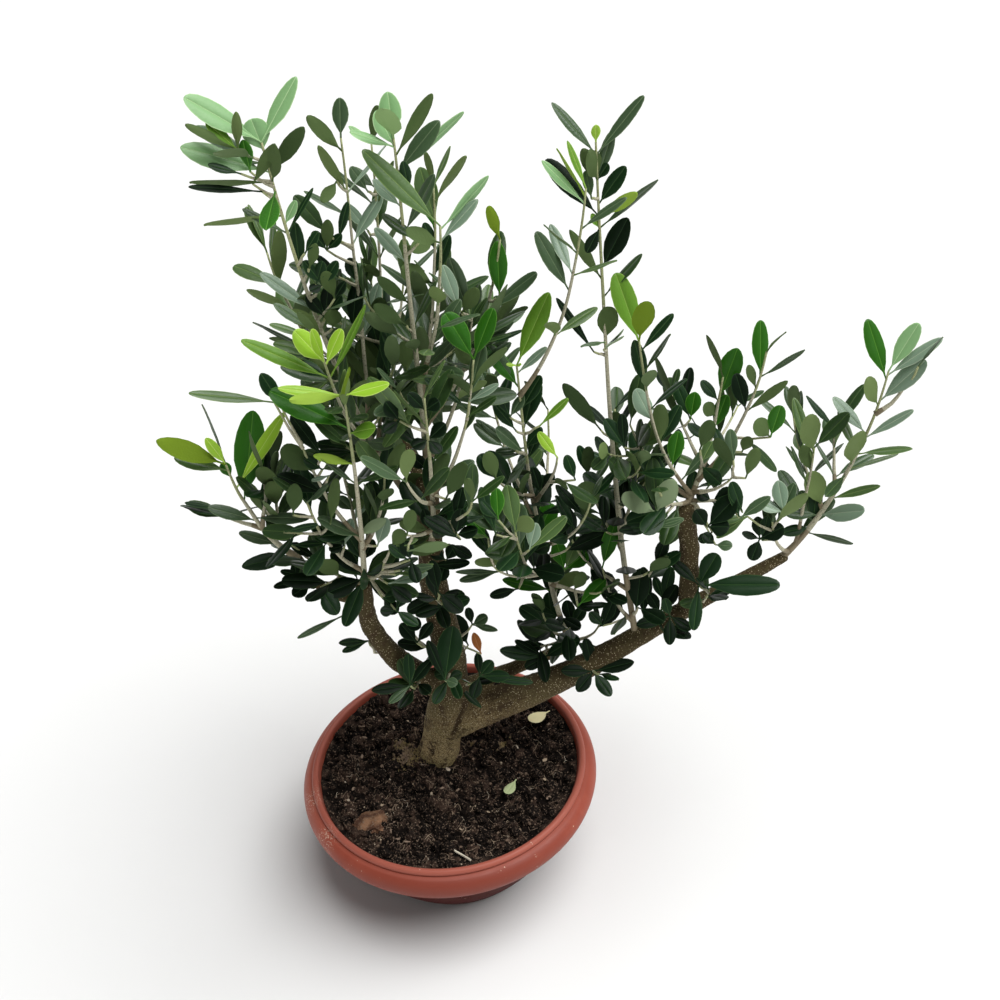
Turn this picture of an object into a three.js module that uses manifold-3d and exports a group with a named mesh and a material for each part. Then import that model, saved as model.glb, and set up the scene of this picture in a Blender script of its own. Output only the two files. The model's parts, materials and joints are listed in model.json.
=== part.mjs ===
// Olive bonsai in a terracotta-coloured bowl.
// Millimetres, +Z up. The origin is the middle of the bowl's flat underside. Seen from the front of the
// tree, +X points to the right and +Y to the back.

import * as THREE from 'three';
import { mergeVertices } from 'three/addons/utils/BufferGeometryUtils.js';
import Module from 'manifold-3d';

const wasm = await Module();
wasm.setup();

// Bowl: a foot, a belly that swells to the neck, a broad convex band that stands out over the neck, and a
// bead on its lip
const footRadius = 84;
const neckRadius = 118;
const neckHeight = 79;
const bandRadius = 126; // to the middle of the band's section
const bandMiddle = 93;
const bandHalf = 13;
const bandReach = 14;
const bandFrom = -95; // degrees round the band's section, from the neck up to the groove beside the bead
const bandTo = 65;
const beadRing = 127; // from the bowl's axis to the middle of the bead's section
const beadMiddle = 106.8;
const beadRadius = 3.1;
const beadFrom = -30; // degrees round the bead's section, from the groove over the lip to the inside
const beadTo = 180;
const wall = 3.5;
const floorThickness = 4;
const roundSides = 32;
const arcSteps = 5;
const bellySteps = 3;

// Soil
const soilLevel = 100;
const soilEdgeDrop = 1.5;
const soilEdgeWidth = 14;

// Clearances
const seatGap = 0.3; // between two pieces that meet
const limbClear = 1.5; // between a leaf or twig and any limb
const spaceClear = 0.5; // between a leaf or twig and the edge of its mass's own space

// Trunk: the roots' flare at the soil, and the swelling below the fork
const flareReach = 3;
const flareHeight = 16;
const flareLobes = 3;
const flareLobeDepth = 0.45;
const forkHeight = 172;
const forkSwell = 3;
const forkSpread = 26;

// Limbs: the points that each axis runs through, and the radius at its root and its tip. A bough's root lies
// on the axis of the limb that carries it.
const limbs = {
	trunk: {
		points: [[-11, 18, 84], [0, 9, 145], [11, 1, 200], [13, 0, 250], [8, 1, 310], [9, 2, 365], [13, 2, 425]],
		root: 18.5, tip: 9, sides: 12, rings: 15,
	},
	right_bough: {
		on: 'trunk', points: [[3, 8, 150], [110, -10, 201], [230, -9, 263], [316, 0, 297]],
		root: 18.5, tip: 5, sides: 10, rings: 10,
	},
	right_upright: {
		on: 'right_bough', points: [[227, -9, 261], [226, -9, 320], [221, -8, 372]],
		root: 8.5, tip: 8, sides: 8, rings: 4,
	},
	left_bough: {
		on: 'trunk', points: [[10, 0, 192], [-33, -6, 250], [-50, -9, 295], [-50, -10, 340]],
		root: 12.5, tip: 7, sides: 9, rings: 7,
	},
	left_outer_branch: {
		on: 'left_bough', points: [[-50, -10, 320], [-84, 4, 330], [-103, 22, 356]],
		root: 5.5, tip: 3.5, sides: 6, rings: 5,
	},
	back_bough: {
		on: 'trunk', points: [[11, 2, 194], [68, 26, 186], [133, 40, 193]],
		root: 8, tip: 5, sides: 7, rings: 5,
	},
	rear_bough: {
		on: 'trunk', points: [[8, 1, 330], [8, 50, 385], [0, 85, 420]],
		root: 8, tip: 5, sides: 7, rings: 5,
	},
};
const taperPower = 1.3;

// Foliage: each mass has one stem, which leaves its limb at a share of the limb's length and ends at the tip
// given here. Leading shoots leave the stem at a share of its length: [share, tip x, tip y, tip z].
const masses = {
	foliage_upper_left: {
		on: 'trunk', at: 0.88, stem: [-65, 0, 700], seed: 11,
		shoots: [[0.3, -15, 30, 698], [0.25, 5, 48, 682], [0.25, -48, -55, 585], [0.4, -80, 45, 610]],
	},
	foliage_upper_middle: {
		on: 'trunk', at: 0.98, stem: [19, -10, 702], seed: 23,
		shoots: [[0.35, 42, -30, 645], [0.08, 66, 0, 604], [0.2, 88, 22, 616], [0.3, 45, 55, 640]],
	},
	foliage_front: {
		on: 'trunk', at: 0.8, stem: [17, -62, 535], seed: 37,
		shoots: [[0.45, -6, -90, 505], [0.3, 42, -72, 450], [0.25, -18, -80, 449], [0.5, 50, -35, 515]],
	},
	foliage_left: {
		on: 'left_bough', at: 0.97, stem: [-37, -60, 543], seed: 41,
		shoots: [
			[0.3, -18, -35, 462], [0.35, -76, -30, 505], [0.15, -78, -42, 449], [0.1, -27, -58, 400],
			[0.05, -82, -12, 372], [0.25, -55, 50, 470],
		],
	},
	foliage_left_outer: {
		on: 'left_outer_branch', at: 0.96, stem: [-137, 0, 467], seed: 53,
		shoots: [
			[0.1, -150, 22, 360], [0.4, -158, 20, 414], [0.3, -104, 8, 440], [0.4, -108, 0, 488],
			[0.3, -120, 80, 430],
		],
	},
	foliage_centre: {
		on: 'back_bough', at: 0.97, stem: [90, 0, 517], seed: 67,
		shoots: [
			[0.7, 142, -18, 652], [0.35, 74, -50, 403], [0.62, 55, -35, 470], [0.6, 117, -14, 455],
			[0.45, 138, -30, 407], [0.3, 147, -22, 305], [0.35, 54, -30, 362], [0.45, 128, 100, 430],
			[0.5, 75, 85, 470], [0.04, 77, 2, 240], [0.06, 100, 12, 262], [0.03, 152, 12, 240],
		],
	},
	foliage_tall_middle: {
		on: 'right_bough', at: 0.57, stem: [156, 14, 672], seed: 71,
		shoots: [
			[0.22, 149, 34, 386], [0.25, 192, 34, 390], [0.12, 130, 22, 332], [0.28, 185, 90, 415],
			[0.04, 150, -8, 325], [0.06, 178, -34, 308], [0.1, 212, 16, 322],
		],
	},
	foliage_right: {
		on: 'right_upright', at: 0.97, stem: [259, 22, 486], seed: 83,
		shoots: [
			[0.1, 181, -10, 530], [0.2, 284, 0, 502], [0.05, 184, -50, 432], [0.3, 224, -32, 450],
			[0.08, 172, 8, 474], [0.12, 254, -32, 416], [0.06, 268, -20, 380], [0.3, 236, 92, 420],
			[0.3, 290, 72, 412],
		],
	},
	foliage_right_end: {
		on: 'right_bough', at: 0.985, stem: [386, 0, 470], seed: 97,
		shoots: [
			[0.1, 336, 10, 418], [0.4, 366, 42, 412], [0.05, 292, -22, 354], [0.3, 345, 80, 388],
			[0.8, 406, -8, 476],
		],
	},
	foliage_rear: {
		on: 'rear_bough', at: 0.97, stem: [-10, 110, 560], seed: 101,
		shoots: [
			[0.3, 50, 128, 540], [0.3, -70, 108, 520], [0.2, 20, 150, 470], [0.25, 92, 112, 500],
			[0.1, -55, 120, 440],
		],
	},
};

// Tufts: short shoots straight out of the bark, as [limb, share of its length, tip x, tip y, tip z]
const tufts = {
	tuft_trunk_front: ['trunk', 0.42, 6, -42, 250],
	tuft_trunk_left: ['left_bough', 0.22, -24, -36, 244],
	tuft_fork: ['trunk', 0.34, 38, -18, 228],
	tuft_trunk_upper_left: ['trunk', 0.5, -14, -20, 278],
	tuft_trunk_upper_right: ['trunk', 0.5, 40, -4, 283],
	tuft_trunk_high: ['trunk', 0.66, 10, -38, 346],
	tuft_left_bough: ['left_bough', 0.5, -76, -18, 286],
	tuft_bough_inner: ['right_bough', 0.42, 141, -36, 224],
	tuft_bough_middle: ['right_bough', 0.64, 208, -32, 262],
	tuft_bough_outer: ['right_bough', 0.76, 238, -30, 298],
};

// Shoots: a curve that leaves outward and turns up, with opposite pairs of leaves, each at right angles to
// the last
const stemRadius = 4;
const shootRadius = 2;
const tuftRadius = 1.8;
const tipRadius = 1.1;
const outwardShare = 0.8; // how much of the way out is done at the bend
const liftShare = 0.35; // how much of the way up is done at the bend
const twigSides = 3;
const stemRings = 5;
const shootRings = 4;
const tuftRings = 2;
const sideTwigRings = 1;
const bareStem = 0.42; // share of a stem without leaves
const bareShoot = 0.2;
const bareSideTwig = 0.3;
const leafPitch = 28; // from one pair of leaves to the next
const sideTwigPitch = 22;
const tuftPitch = 14;
const lowestPair = 0.05; // no pair of leaves stands lower than this share of its shoot
const leafLength = 44;
const tuftLeafLength = 36;
const leafWidthShare = 0.4; // of the leaf's length
const leafThickness = 1.6;
const leafRoot = 0.4; // how far a leaf's root goes past the twig's axis
const leafSizes = [0.85, 1.1]; // shares of the leaf length
const tipLeafSizes = [0.8, 0.95];
const tipLeafAngle = 36; // between a leaf and its shoot, at the tip and from the fourth pair down
const lowLeafAngle = 62;
const pairsToOpen = 3;
const angleWander = 8;
const rollWander = 17;
const angleTries = [0, -15, 15]; // tried in turn where a leaf would cross another
const sideTwigEvery = 85; // length of shoot for each side twig
const sideTwigLength = 46;
const sideTwigSizes = [0.8, 1.2];
const sideTwigAngle = 48;
const sideTwigSlot = [0.3, 0.7]; // where in its part of the shoot a side twig may stand
const highestSideTwig = 0.85; // share of its shoot
const leafTests = [0.35, 0.6, 0.8]; // shares of a leaf and of a side twig that are tested for room
const sideTwigTests = [0.3, 0.6, 1];
const goldenAngle = 137.5;
const tuftSeed = 211;

const radians = THREE.MathUtils.degToRad;
const lerp = THREE.MathUtils.lerp;
const point = ([x, y, z]) => new THREE.Vector3(x, y, z);

// Even numbers between two limits, the same ones for the same seed
function seeded(seed) {
	const factor = 16807;
	const prime = 2147483647;
	let state = (seed * factor * factor) % prime;
	return function ([low, high]) {
		state = (state * factor) % prime;
		return lerp(low, high, state / prime);
	};
}

function about(spread) {
	return [-spread, spread];
}

// Solids

function solid(geometry) {
	geometry.deleteAttribute('normal');
	geometry.deleteAttribute('uv');
	const merged = mergeVertices(geometry);
	return new wasm.Manifold(new wasm.Mesh({
		numProp: 3,
		vertProperties: merged.attributes.position.array,
		triVerts: Uint32Array.from(merged.index.array),
	}));
}

function largestBody(body) {
	const bodies = body.decompose();
	bodies.sort((a, b) => b.volume() - a.volume());
	return bodies[0];
}

function geometryOf(body) {
	const { vertProperties, triVerts } = body.getMesh();
	const geometry = new THREE.BufferGeometry();
	geometry.setAttribute('position', new THREE.BufferAttribute(vertProperties, 3));
	geometry.setIndex(new THREE.BufferAttribute(triVerts, 1));
	geometry.computeVertexNormals();
	return geometry;
}

function lathe(outline) {
	const points = outline.map(([radius, height]) => new THREE.Vector2(radius, height));
	return new THREE.LatheGeometry(points, roundSides).rotateX(Math.PI / 2);
}

// A closed cylinder bent along a curve, with a radius for each share of its length and angle round it
function bentCylinder(curve, radiusAt, sides, rings, grow = 0) {
	const geometry = new THREE.CylinderGeometry(1, 1, 1, sides, rings);
	const frames = curve.computeFrenetFrames(rings);
	const position = geometry.attributes.position;
	const corner = new THREE.Vector3();
	for (let i = 0; i < position.count; i++) {
		corner.fromBufferAttribute(position, i);
		const ring = Math.round((corner.y + 0.5) * rings);
		const share = ring / rings;
		const radius = radiusAt(share, Math.atan2(corner.x, corner.z)) + grow;
		const place = curve.getPointAt(share);
		place.addScaledVector(frames.normals[ring], corner.x * radius);
		place.addScaledVector(frames.binormals[ring], -corner.z * radius);
		if (ring === rings) place.addScaledVector(frames.tangents[ring], grow);
		position.setXYZ(i, place.x, place.y, place.z);
	}
	return geometry;
}

// Bowl and soil

function bellyRadius(height) {
	return lerp(footRadius, neckRadius, Math.sin((height / neckHeight) * (Math.PI / 2)));
}

function arc(radius, height, across, up, from, to) {
	const points = [];
	for (let i = 0; i <= arcSteps; i++) {
		const angle = radians(lerp(from, to, i / arcSteps));
		points.push([radius + across * Math.cos(angle), height + up * Math.sin(angle)]);
	}
	return points;
}

function bellyLine(from, to, inset) {
	const points = [];
	for (let i = 0; i <= bellySteps; i++) {
		const height = lerp(from, to, i / bellySteps);
		points.push([bellyRadius(height) - inset, height]);
	}
	return points;
}

// Above the neck the inside widens evenly to the bead
function insideRadius(height) {
	const share = (height - neckHeight) / (beadMiddle - neckHeight);
	return lerp(neckRadius - wall, beadRing - beadRadius, share);
}

function bowlOutline() {
	return [
		[0, 0],
		...bellyLine(0, neckHeight, 0),
		...arc(bandRadius, bandMiddle, bandReach, bandHalf, bandFrom, bandTo),
		...arc(beadRing, beadMiddle, beadRadius, beadRadius, beadFrom, beadTo),
		...bellyLine(neckHeight, floorThickness, wall),
		[0, floorThickness],
	];
}

function soilOutline() {
	const edgeHeight = soilLevel - soilEdgeDrop;
	const edge = insideRadius(edgeHeight) - seatGap;
	return [
		[0, floorThickness + seatGap],
		...bellyLine(floorThickness + seatGap, neckHeight, wall + seatGap),
		[edge, edgeHeight],
		[edge - soilEdgeWidth, soilLevel],
		[0, soilLevel],
	];
}

// Limbs

const limbCurves = {};
for (const [name, limb] of Object.entries(limbs)) {
	limbCurves[name] = new THREE.CatmullRomCurve3(limb.points.map(point));
}

function limbRadius(name, share, angle) {
	const { root, tip } = limbs[name];
	if (name !== 'trunk') return lerp(tip, root, (1 - share) ** taperPower);
	const height = limbCurves.trunk.getPointAt(share).z;
	const flare = flareReach * Math.exp(-Math.max(0, height - soilLevel) / flareHeight);
	const lobes = 1 + flareLobeDepth * Math.cos(flareLobes * angle);
	const swell = forkSwell * Math.exp(-(((height - forkHeight) / forkSpread) ** 2));
	return lerp(root, tip, share) + flare * lobes + swell;
}

function limbSolid(name, grow) {
	const { sides, rings } = limbs[name];
	const radiusAt = (share, angle) => limbRadius(name, share, angle);
	return solid(bentCylinder(limbCurves[name], radiusAt, sides, rings, grow));
}

function groundBlock() {
	const size = 4 * footRadius;
	const block = new THREE.BoxGeometry(size, size, size);
	return solid(block.translate(0, 0, soilLevel + seatGap - size / 2));
}

// Foliage

function shootLine(foot, tip, rings) {
	const bend = new THREE.Vector3(
		lerp(foot.x, tip.x, outwardShare),
		lerp(foot.y, tip.y, outwardShare),
		lerp(foot.z, tip.z, liftShare),
	);
	const curve = new THREE.CatmullRomCurve3(
		new THREE.QuadraticBezierCurve3(foot, bend, tip).getSpacedPoints(rings),
	);
	return { curve, rings, length: curve.getLength() };
}

function placeOn(shoot, share) {
	const along = share * shoot.rings;
	const ring = Math.min(Math.floor(along), shoot.rings - 1);
	const low = shoot.curve.getPointAt(ring / shoot.rings);
	const high = shoot.curve.getPointAt((ring + 1) / shoot.rings);
	return low.lerp(high, along - ring);
}

function newShoot(foot, tip, radius, rings, bare, pitch, leaf = leafLength) {
	return { ...shootLine(foot, tip, rings), radius, bare, pitch, leaf };
}

function shootsOf(plan) {
	const foot = limbCurves[plan.on].getPointAt(plan.at);
	const stem = newShoot(foot, point(plan.stem), stemRadius, stemRings, bareStem, leafPitch);
	const leaders = plan.shoots.map(([share, ...tip]) =>
		newShoot(placeOn(stem, share), point(tip), shootRadius, shootRings, bareShoot, leafPitch));
	return [stem, ...leaders];
}

function tuftShoots([limb, share, ...tip]) {
	const foot = limbCurves[limb].getPointAt(share);
	return [newShoot(foot, point(tip), tuftRadius, tuftRings, 0, tuftPitch, tuftLeafLength)];
}

// Every mass's shoots as short straight pieces, which its space is measured from
const axisSteps = 8;
const axes = [];

function addAxes(mass, shoots) {
	for (const shoot of shoots) {
		const places = [];
		for (let i = 0; i <= axisSteps; i++) {
			places.push(placeOn(shoot, i / axisSteps));
		}
		for (let i = 0; i < axisSteps; i++) {
			axes.push({ mass, line: new THREE.Line3(places[i], places[i + 1]) });
		}
	}
}

const nearest = new THREE.Vector3();

function distanceTo(line, place) {
	line.closestPointToPoint(place, true, nearest);
	return nearest.distanceTo(place);
}

function inOwnSpace(mass, place, margin) {
	let own = Infinity;
	let other = Infinity;
	for (const axis of axes) {
		const distance = distanceTo(axis.line, place);
		if (axis.mass === mass) own = Math.min(own, distance);
		else other = Math.min(other, distance);
	}
	return other - own > 2 * (margin + spaceClear);
}

const limbPieces = [];
for (const [name, { rings }] of Object.entries(limbs)) {
	for (let i = 0; i < rings; i++) {
		const from = limbCurves[name].getPointAt(i / rings);
		const to = limbCurves[name].getPointAt((i + 1) / rings);
		limbPieces.push({ line: new THREE.Line3(from, to), radius: limbRadius(name, i / rings, 0) });
	}
}

function clearOfLimbs(place, margin) {
	return limbPieces.every(({ line, radius }) => distanceTo(line, place) > radius + margin + limbClear);
}

function fits(mass, places, margin) {
	return places.every((place) => clearOfLimbs(place, margin) && inOwnSpace(mass, place, margin));
}

function twig(shoot) {
	const radiusAt = (share) => lerp(shoot.radius, tipRadius, share);
	return solid(bentCylinder(shoot.curve, radiusAt, twigSides, shoot.rings));
}

// A leaf is a flat octahedron
function newLeaf(root, along, face, length) {
	const across = new THREE.Vector3().crossVectors(along, face).normalize();
	const normal = new THREE.Vector3().crossVectors(across, along);
	const tip = root.clone().addScaledVector(along, length);
	const middle = root.clone().lerp(tip, 0.5);
	const halfWidth = (length * leafWidthShare) / 2;
	const left = middle.clone().addScaledVector(across, -halfWidth);
	const right = middle.clone().addScaledVector(across, halfWidth);
	const frame = new THREE.Matrix4().makeBasis(across, along, normal).setPosition(root);
	return { root, tip, left, right, length, halfWidth, frame };
}

function leafSolid({ length, halfWidth, frame }) {
	const geometry = new THREE.OctahedronGeometry(1);
	geometry.scale(halfWidth, (length + leafRoot) / 2, leafThickness / 2);
	geometry.translate(0, (length - leafRoot) / 2, 0);
	return solid(geometry.applyMatrix4(frame));
}

function leafPlaces({ root, tip, left, right }) {
	const middles = leafTests.map((share) => root.clone().lerp(tip, share));
	return [...middles, tip, left, right];
}

const ray = new THREE.Ray();
const hitPlace = new THREE.Vector3();

function passesThrough(from, to, { root, tip, left, right }) {
	ray.origin.copy(from);
	ray.direction.subVectors(to, from).normalize();
	return [left, right].some((edge) => {
		const hit = ray.intersectTriangle(root, tip, edge, false, hitPlace);
		return hit !== null && hit.distanceTo(from) < to.distanceTo(from);
	});
}

function leavesCross(one, two) {
	if (one.root.equals(two.root)) return false;
	const edges = ({ root, tip, left, right }) => [[root, left], [left, tip], [tip, right], [right, root]];
	return edges(one).some(([from, to]) => passesThrough(from, to, two))
		|| edges(two).some(([from, to]) => passesThrough(from, to, one));
}

function shootCrosses(shoot, leaf) {
	for (let ring = 0; ring < shoot.rings; ring++) {
		const from = placeOn(shoot, ring / shoot.rings);
		const to = placeOn(shoot, (ring + 1) / shoot.rings);
		if (passesThrough(from, to, leaf)) return true;
	}
	return false;
}

const nearlyUpright = 0.1;

// The shoot's direction at a share of its length, and a direction square to it
function outward(shoot, share, roll) {
	const tangent = shoot.curve.getTangentAt(share);
	const side = new THREE.Vector3(0, 0, 1).cross(tangent);
	if (side.length() < nearlyUpright) side.set(1, 0, 0);
	side.normalize();
	return { tangent, sideways: side.applyAxisAngle(tangent, radians(roll)) };
}

function leanedOut(tangent, sideways, angle) {
	const way = tangent.clone().multiplyScalar(Math.cos(radians(angle)));
	return way.addScaledVector(sideways, Math.sin(radians(angle)));
}

function growLeaves(mass, shoot, shoots, leaves, random) {
	const others = shoots.filter((other) => other !== shoot);
	const pairs = Math.max(1, Math.round((shoot.length * (1 - shoot.bare)) / shoot.pitch));
	const firstRoll = random([0, 180]);
	for (let pair = 0; pair < pairs; pair++) {
		const share = Math.max(lowestPair, 1 - (pair * shoot.pitch + leafRoot) / shoot.length);
		const root = placeOn(shoot, share);
		const opened = Math.min(1, pair / pairsToOpen);
		const opening = lerp(tipLeafAngle, lowLeafAngle, opened) + random(about(angleWander));
		for (const turn of [0, 180]) {
			const roll = firstRoll + pair * 90 + turn + random(about(rollWander));
			const { tangent, sideways } = outward(shoot, share, roll);
			const length = shoot.leaf * random(pair === 0 ? tipLeafSizes : leafSizes);
			for (const change of angleTries) {
				const along = leanedOut(tangent, sideways, opening + change);
				const leaf = newLeaf(root, along, tangent, length);
				const crossing = leaves.some((other) => leavesCross(leaf, other))
					|| others.some((other) => shootCrosses(other, leaf));
				if (!crossing && fits(mass, leafPlaces(leaf), 0)) {
					leaves.push(leaf);
					break;
				}
			}
		}
	}
}

function sideTwigs(mass, shoot, random) {
	const twigs = [];
	const count = Math.floor((shoot.length * (1 - shoot.bare)) / sideTwigEvery);
	const firstRoll = random([0, 360]);
	for (let i = 0; i < count; i++) {
		const share = lerp(shoot.bare, highestSideTwig, (i + random(sideTwigSlot)) / count);
		const { tangent, sideways } = outward(shoot, share, firstRoll + i * goldenAngle);
		const way = leanedOut(tangent, sideways, sideTwigAngle);
		const foot = placeOn(shoot, share);
		const tip = foot.clone().addScaledVector(way, sideTwigLength * random(sideTwigSizes));
		const side = newShoot(foot, tip, tuftRadius, sideTwigRings, bareSideTwig, sideTwigPitch);
		const places = sideTwigTests.map((part) => placeOn(side, part));
		if (fits(mass, places, tuftRadius)) twigs.push(side);
	}
	return twigs;
}

function growMass(mass, shoots, seed) {
	const random = seeded(seed);
	const all = [...shoots];
	for (const shoot of shoots) all.push(...sideTwigs(mass, shoot, random));
	const leaves = [];
	for (const shoot of all) growLeaves(mass, shoot, all, leaves, random);
	return largestBody(wasm.Manifold.union([...all.map(twig), ...leaves.map(leafSolid)]));
}

// Assembly

const plastic = { color: 0xbe5f46, roughness: 0.5, metalness: 0 };
const earth = { color: 0x32261f, roughness: 0.95, metalness: 0 };
const bark = { color: 0x73644b, roughness: 0.85, metalness: 0 };
const leafage = { color: 0x2c4a36, roughness: 0.45, metalness: 0 };

const olive = new THREE.Group();

function add(name, geometry, looks) {
	const mesh = new THREE.Mesh(geometry, new THREE.MeshStandardMaterial(looks));
	mesh.name = name;
	olive.add(mesh);
}

add('bowl', lathe(bowlOutline()), plastic);
add('soil', lathe(soilOutline()), earth);

for (const [name, { on }] of Object.entries(limbs)) {
	const cut = on ? limbSolid(on, seatGap) : groundBlock();
	add(name, geometryOf(largestBody(limbSolid(name, 0).subtract(cut))), bark);
}

const grown = [];
for (const [name, plan] of Object.entries(masses)) {
	grown.push({ name, on: plan.on, seed: plan.seed, shoots: shootsOf(plan) });
}
Object.entries(tufts).forEach(([name, plan], i) => {
	grown.push({ name, on: plan[0], seed: tuftSeed + i, shoots: tuftShoots(plan) });
});
for (const { name, shoots } of grown) addAxes(name, shoots);
for (const { name, on, seed, shoots } of grown) {
	const mass = growMass(name, shoots, seed);
	add(name, geometryOf(largestBody(mass.subtract(limbSolid(on, seatGap)))), leafage);
}

export default olive;
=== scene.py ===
import json
import math
import random

import bmesh
import bpy
import numpy as np
from mathutils import Matrix, Vector, noise

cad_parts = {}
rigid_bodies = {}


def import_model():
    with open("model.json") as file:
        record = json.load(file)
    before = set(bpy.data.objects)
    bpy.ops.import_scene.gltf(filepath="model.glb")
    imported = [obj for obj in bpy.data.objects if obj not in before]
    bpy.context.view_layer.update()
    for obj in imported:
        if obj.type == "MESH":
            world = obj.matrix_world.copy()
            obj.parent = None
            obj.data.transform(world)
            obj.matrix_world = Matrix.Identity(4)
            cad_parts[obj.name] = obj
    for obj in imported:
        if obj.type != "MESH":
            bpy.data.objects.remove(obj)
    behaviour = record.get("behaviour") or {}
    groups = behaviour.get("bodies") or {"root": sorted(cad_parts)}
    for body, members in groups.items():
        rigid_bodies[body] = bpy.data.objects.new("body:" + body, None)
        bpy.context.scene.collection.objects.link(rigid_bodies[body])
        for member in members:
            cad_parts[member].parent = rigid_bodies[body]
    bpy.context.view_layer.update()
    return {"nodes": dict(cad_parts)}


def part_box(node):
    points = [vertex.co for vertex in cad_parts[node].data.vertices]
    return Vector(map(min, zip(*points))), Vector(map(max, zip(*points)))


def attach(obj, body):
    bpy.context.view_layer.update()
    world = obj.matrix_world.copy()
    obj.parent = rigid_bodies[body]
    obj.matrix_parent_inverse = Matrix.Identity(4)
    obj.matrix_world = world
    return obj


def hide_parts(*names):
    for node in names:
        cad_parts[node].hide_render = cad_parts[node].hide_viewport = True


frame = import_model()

print("frame loaded,", len(frame["nodes"]), "nodes")

mm = 0.001  # the plan below is in millimetres, as the CAD model is
upward = np.array([0.0, 0.0, 1.0])
headingStep = 0.02  # share of a line over which its heading is taken, to either side
steepest = 0.1  # a heading with less than this to the side counts as upright


# Small tools

def colour(red, green, blue):  # picture values from 0 to 255, as a linear colour
    parts = []
    for value in (red, green, blue):
        value /= 255
        parts.append(value / 12.92 if value < 0.04045 else ((value + 0.055) / 1.055) ** 2.4)
    return (*parts, 1.0)


def unit(v):
    return v / max(np.linalg.norm(v), 1e-9)


def blendOf(a, b, share):
    return a + (b - a) * share


def newHeap():
    return {"corners": [], "faces": [], "slots": [], "count": 0}


def addTo(heap, corners, faces, slots):
    heap["corners"].append(corners)
    heap["faces"].append(np.asarray(faces) + heap["count"])
    heap["slots"].append(np.broadcast_to(slots, len(faces)))
    heap["count"] += len(corners)


def pieceFrom(name, heap, materials, sharpAngle=None):
    # one mesh from everything in the heap, in metres
    mesh = bpy.data.meshes.new(name)
    corners = np.vstack(heap["corners"]) * mm
    mesh.from_pydata(corners.tolist(), [], np.vstack(heap["faces"]).tolist())
    mesh.polygons.foreach_set("material_index", np.concatenate(heap["slots"]).astype(np.int32))
    mesh.polygons.foreach_set("use_smooth", np.ones(len(mesh.polygons), bool))
    if sharpAngle:
        mesh.set_sharp_from_angle(angle=math.radians(sharpAngle))
    for material in materials:
        mesh.materials.append(material)
    mesh.update()
    piece = bpy.data.objects.new(name, mesh)
    bpy.context.scene.collection.objects.link(piece)
    return piece


def settle(piece, slotName, *nodes):
    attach(piece, "root")
    if nodes:
        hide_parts(*nodes)
    return piece


# Lines that limbs and shoots follow

def asLine(points):
    steps = np.linalg.norm(np.diff(points, axis=0), axis=1)
    return {"points": points, "lengths": np.concatenate([[0.0], np.cumsum(steps)])}


def lengthOf(line):
    return line["lengths"][-1]


def placeOn(line, share):
    away = np.clip(share, 0, 1) * lengthOf(line)
    return np.array([np.interp(away, line["lengths"], line["points"][:, k]) for k in range(3)])


def headingOn(line, share):
    return unit(placeOn(line, share + headingStep) - placeOn(line, share - headingStep))


def lineThrough(points, steps=30):
    # rounded line through all the points, by a centripetal spline
    p = np.array(points, float)
    p = np.vstack([2 * p[0] - p[1], p, 2 * p[-1] - p[-2]])
    t = np.linspace(0, 1, steps + 1)[1:, None]
    run = [p[1][None]]
    for a, b, c, d in zip(p, p[1:], p[2:], p[3:]):
        ab, bc, cd = (np.linalg.norm(v) ** 0.5 for v in (b - a, c - b, d - c))
        leave = ((b - a) / ab - (c - a) / (ab + bc) + (c - b) / bc) * bc
        arrive = ((c - b) / bc - (d - b) / (bc + cd) + (d - c) / cd) * bc
        run.append((2 * t**3 - 3 * t**2 + 1) * b + (t**3 - 2 * t**2 + t) * leave
                   + (3 * t**2 - 2 * t**3) * c + (t**3 - t**2) * arrive)
    return asLine(np.vstack(run))


def sideOf(heading, roll):
    # a direction square to the heading, turned round it
    side = np.cross(upward, heading)
    if np.linalg.norm(side) < steepest:
        side = np.array([1.0, 0.0, 0.0])
    side = unit(side)
    other = np.cross(heading, side)
    return math.cos(roll) * side + math.sin(roll) * other


def closedFaces(rings, sides):
    # triangles between rings of corners, and to one more corner at either end
    faces = []
    for i in range(rings - 1):
        for j in range(sides):
            a, b = i * sides + j, i * sides + (j + 1) % sides
            faces += [(a, b, b + sides), (a, b + sides, a + sides)]
    first, last, rim = rings * sides, rings * sides + 1, (rings - 1) * sides
    for j in range(sides):
        k = (j + 1) % sides
        faces += [(first, k, j), (last, rim + j, rim + k)]
    return faces


def tube(points, radii, sides):
    # closed tube; radii has one number for each ring, or one row of numbers round it
    points = np.asarray(points, float)
    count = len(points)
    headings = np.gradient(points, axis=0)
    headings /= np.linalg.norm(headings, axis=1)[:, None]
    side = sideOf(headings[0], 0)
    turns = np.arange(sides) * 2 * math.pi / sides
    corners = []
    for i in range(count):
        side = unit(side - headings[i] * np.dot(side, headings[i]))
        other = np.cross(headings[i], side)
        around = np.cos(turns)[:, None] * side + np.sin(turns)[:, None] * other
        corners.append(points[i] + around * np.reshape(radii[i], (-1, 1)))
    corners += [points[:1], points[-1:]]
    return np.vstack(corners), closedFaces(count, sides)


# Shader groups and materials

grainRule = {"patch": 0.03, "grain": 0.002, "speck": 0.004, "detail": 5, "speckEdge": (0.34, 0.18)}
noiseSpan = (0.3, 0.7)  # where most values of a noise lie


def newGroup(name, inputs, outputs):
    group = bpy.data.node_groups.new(name, "ShaderNodeTree")
    for socket, kind, value in inputs:
        made = group.interface.new_socket(socket, in_out="INPUT", socket_type=kind)
        made.default_value = value
    for socket, kind in outputs:
        group.interface.new_socket(socket, in_out="OUTPUT", socket_type=kind)
    return group, group.nodes.new("NodeGroupInput"), group.nodes.new("NodeGroupOutput")


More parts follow.
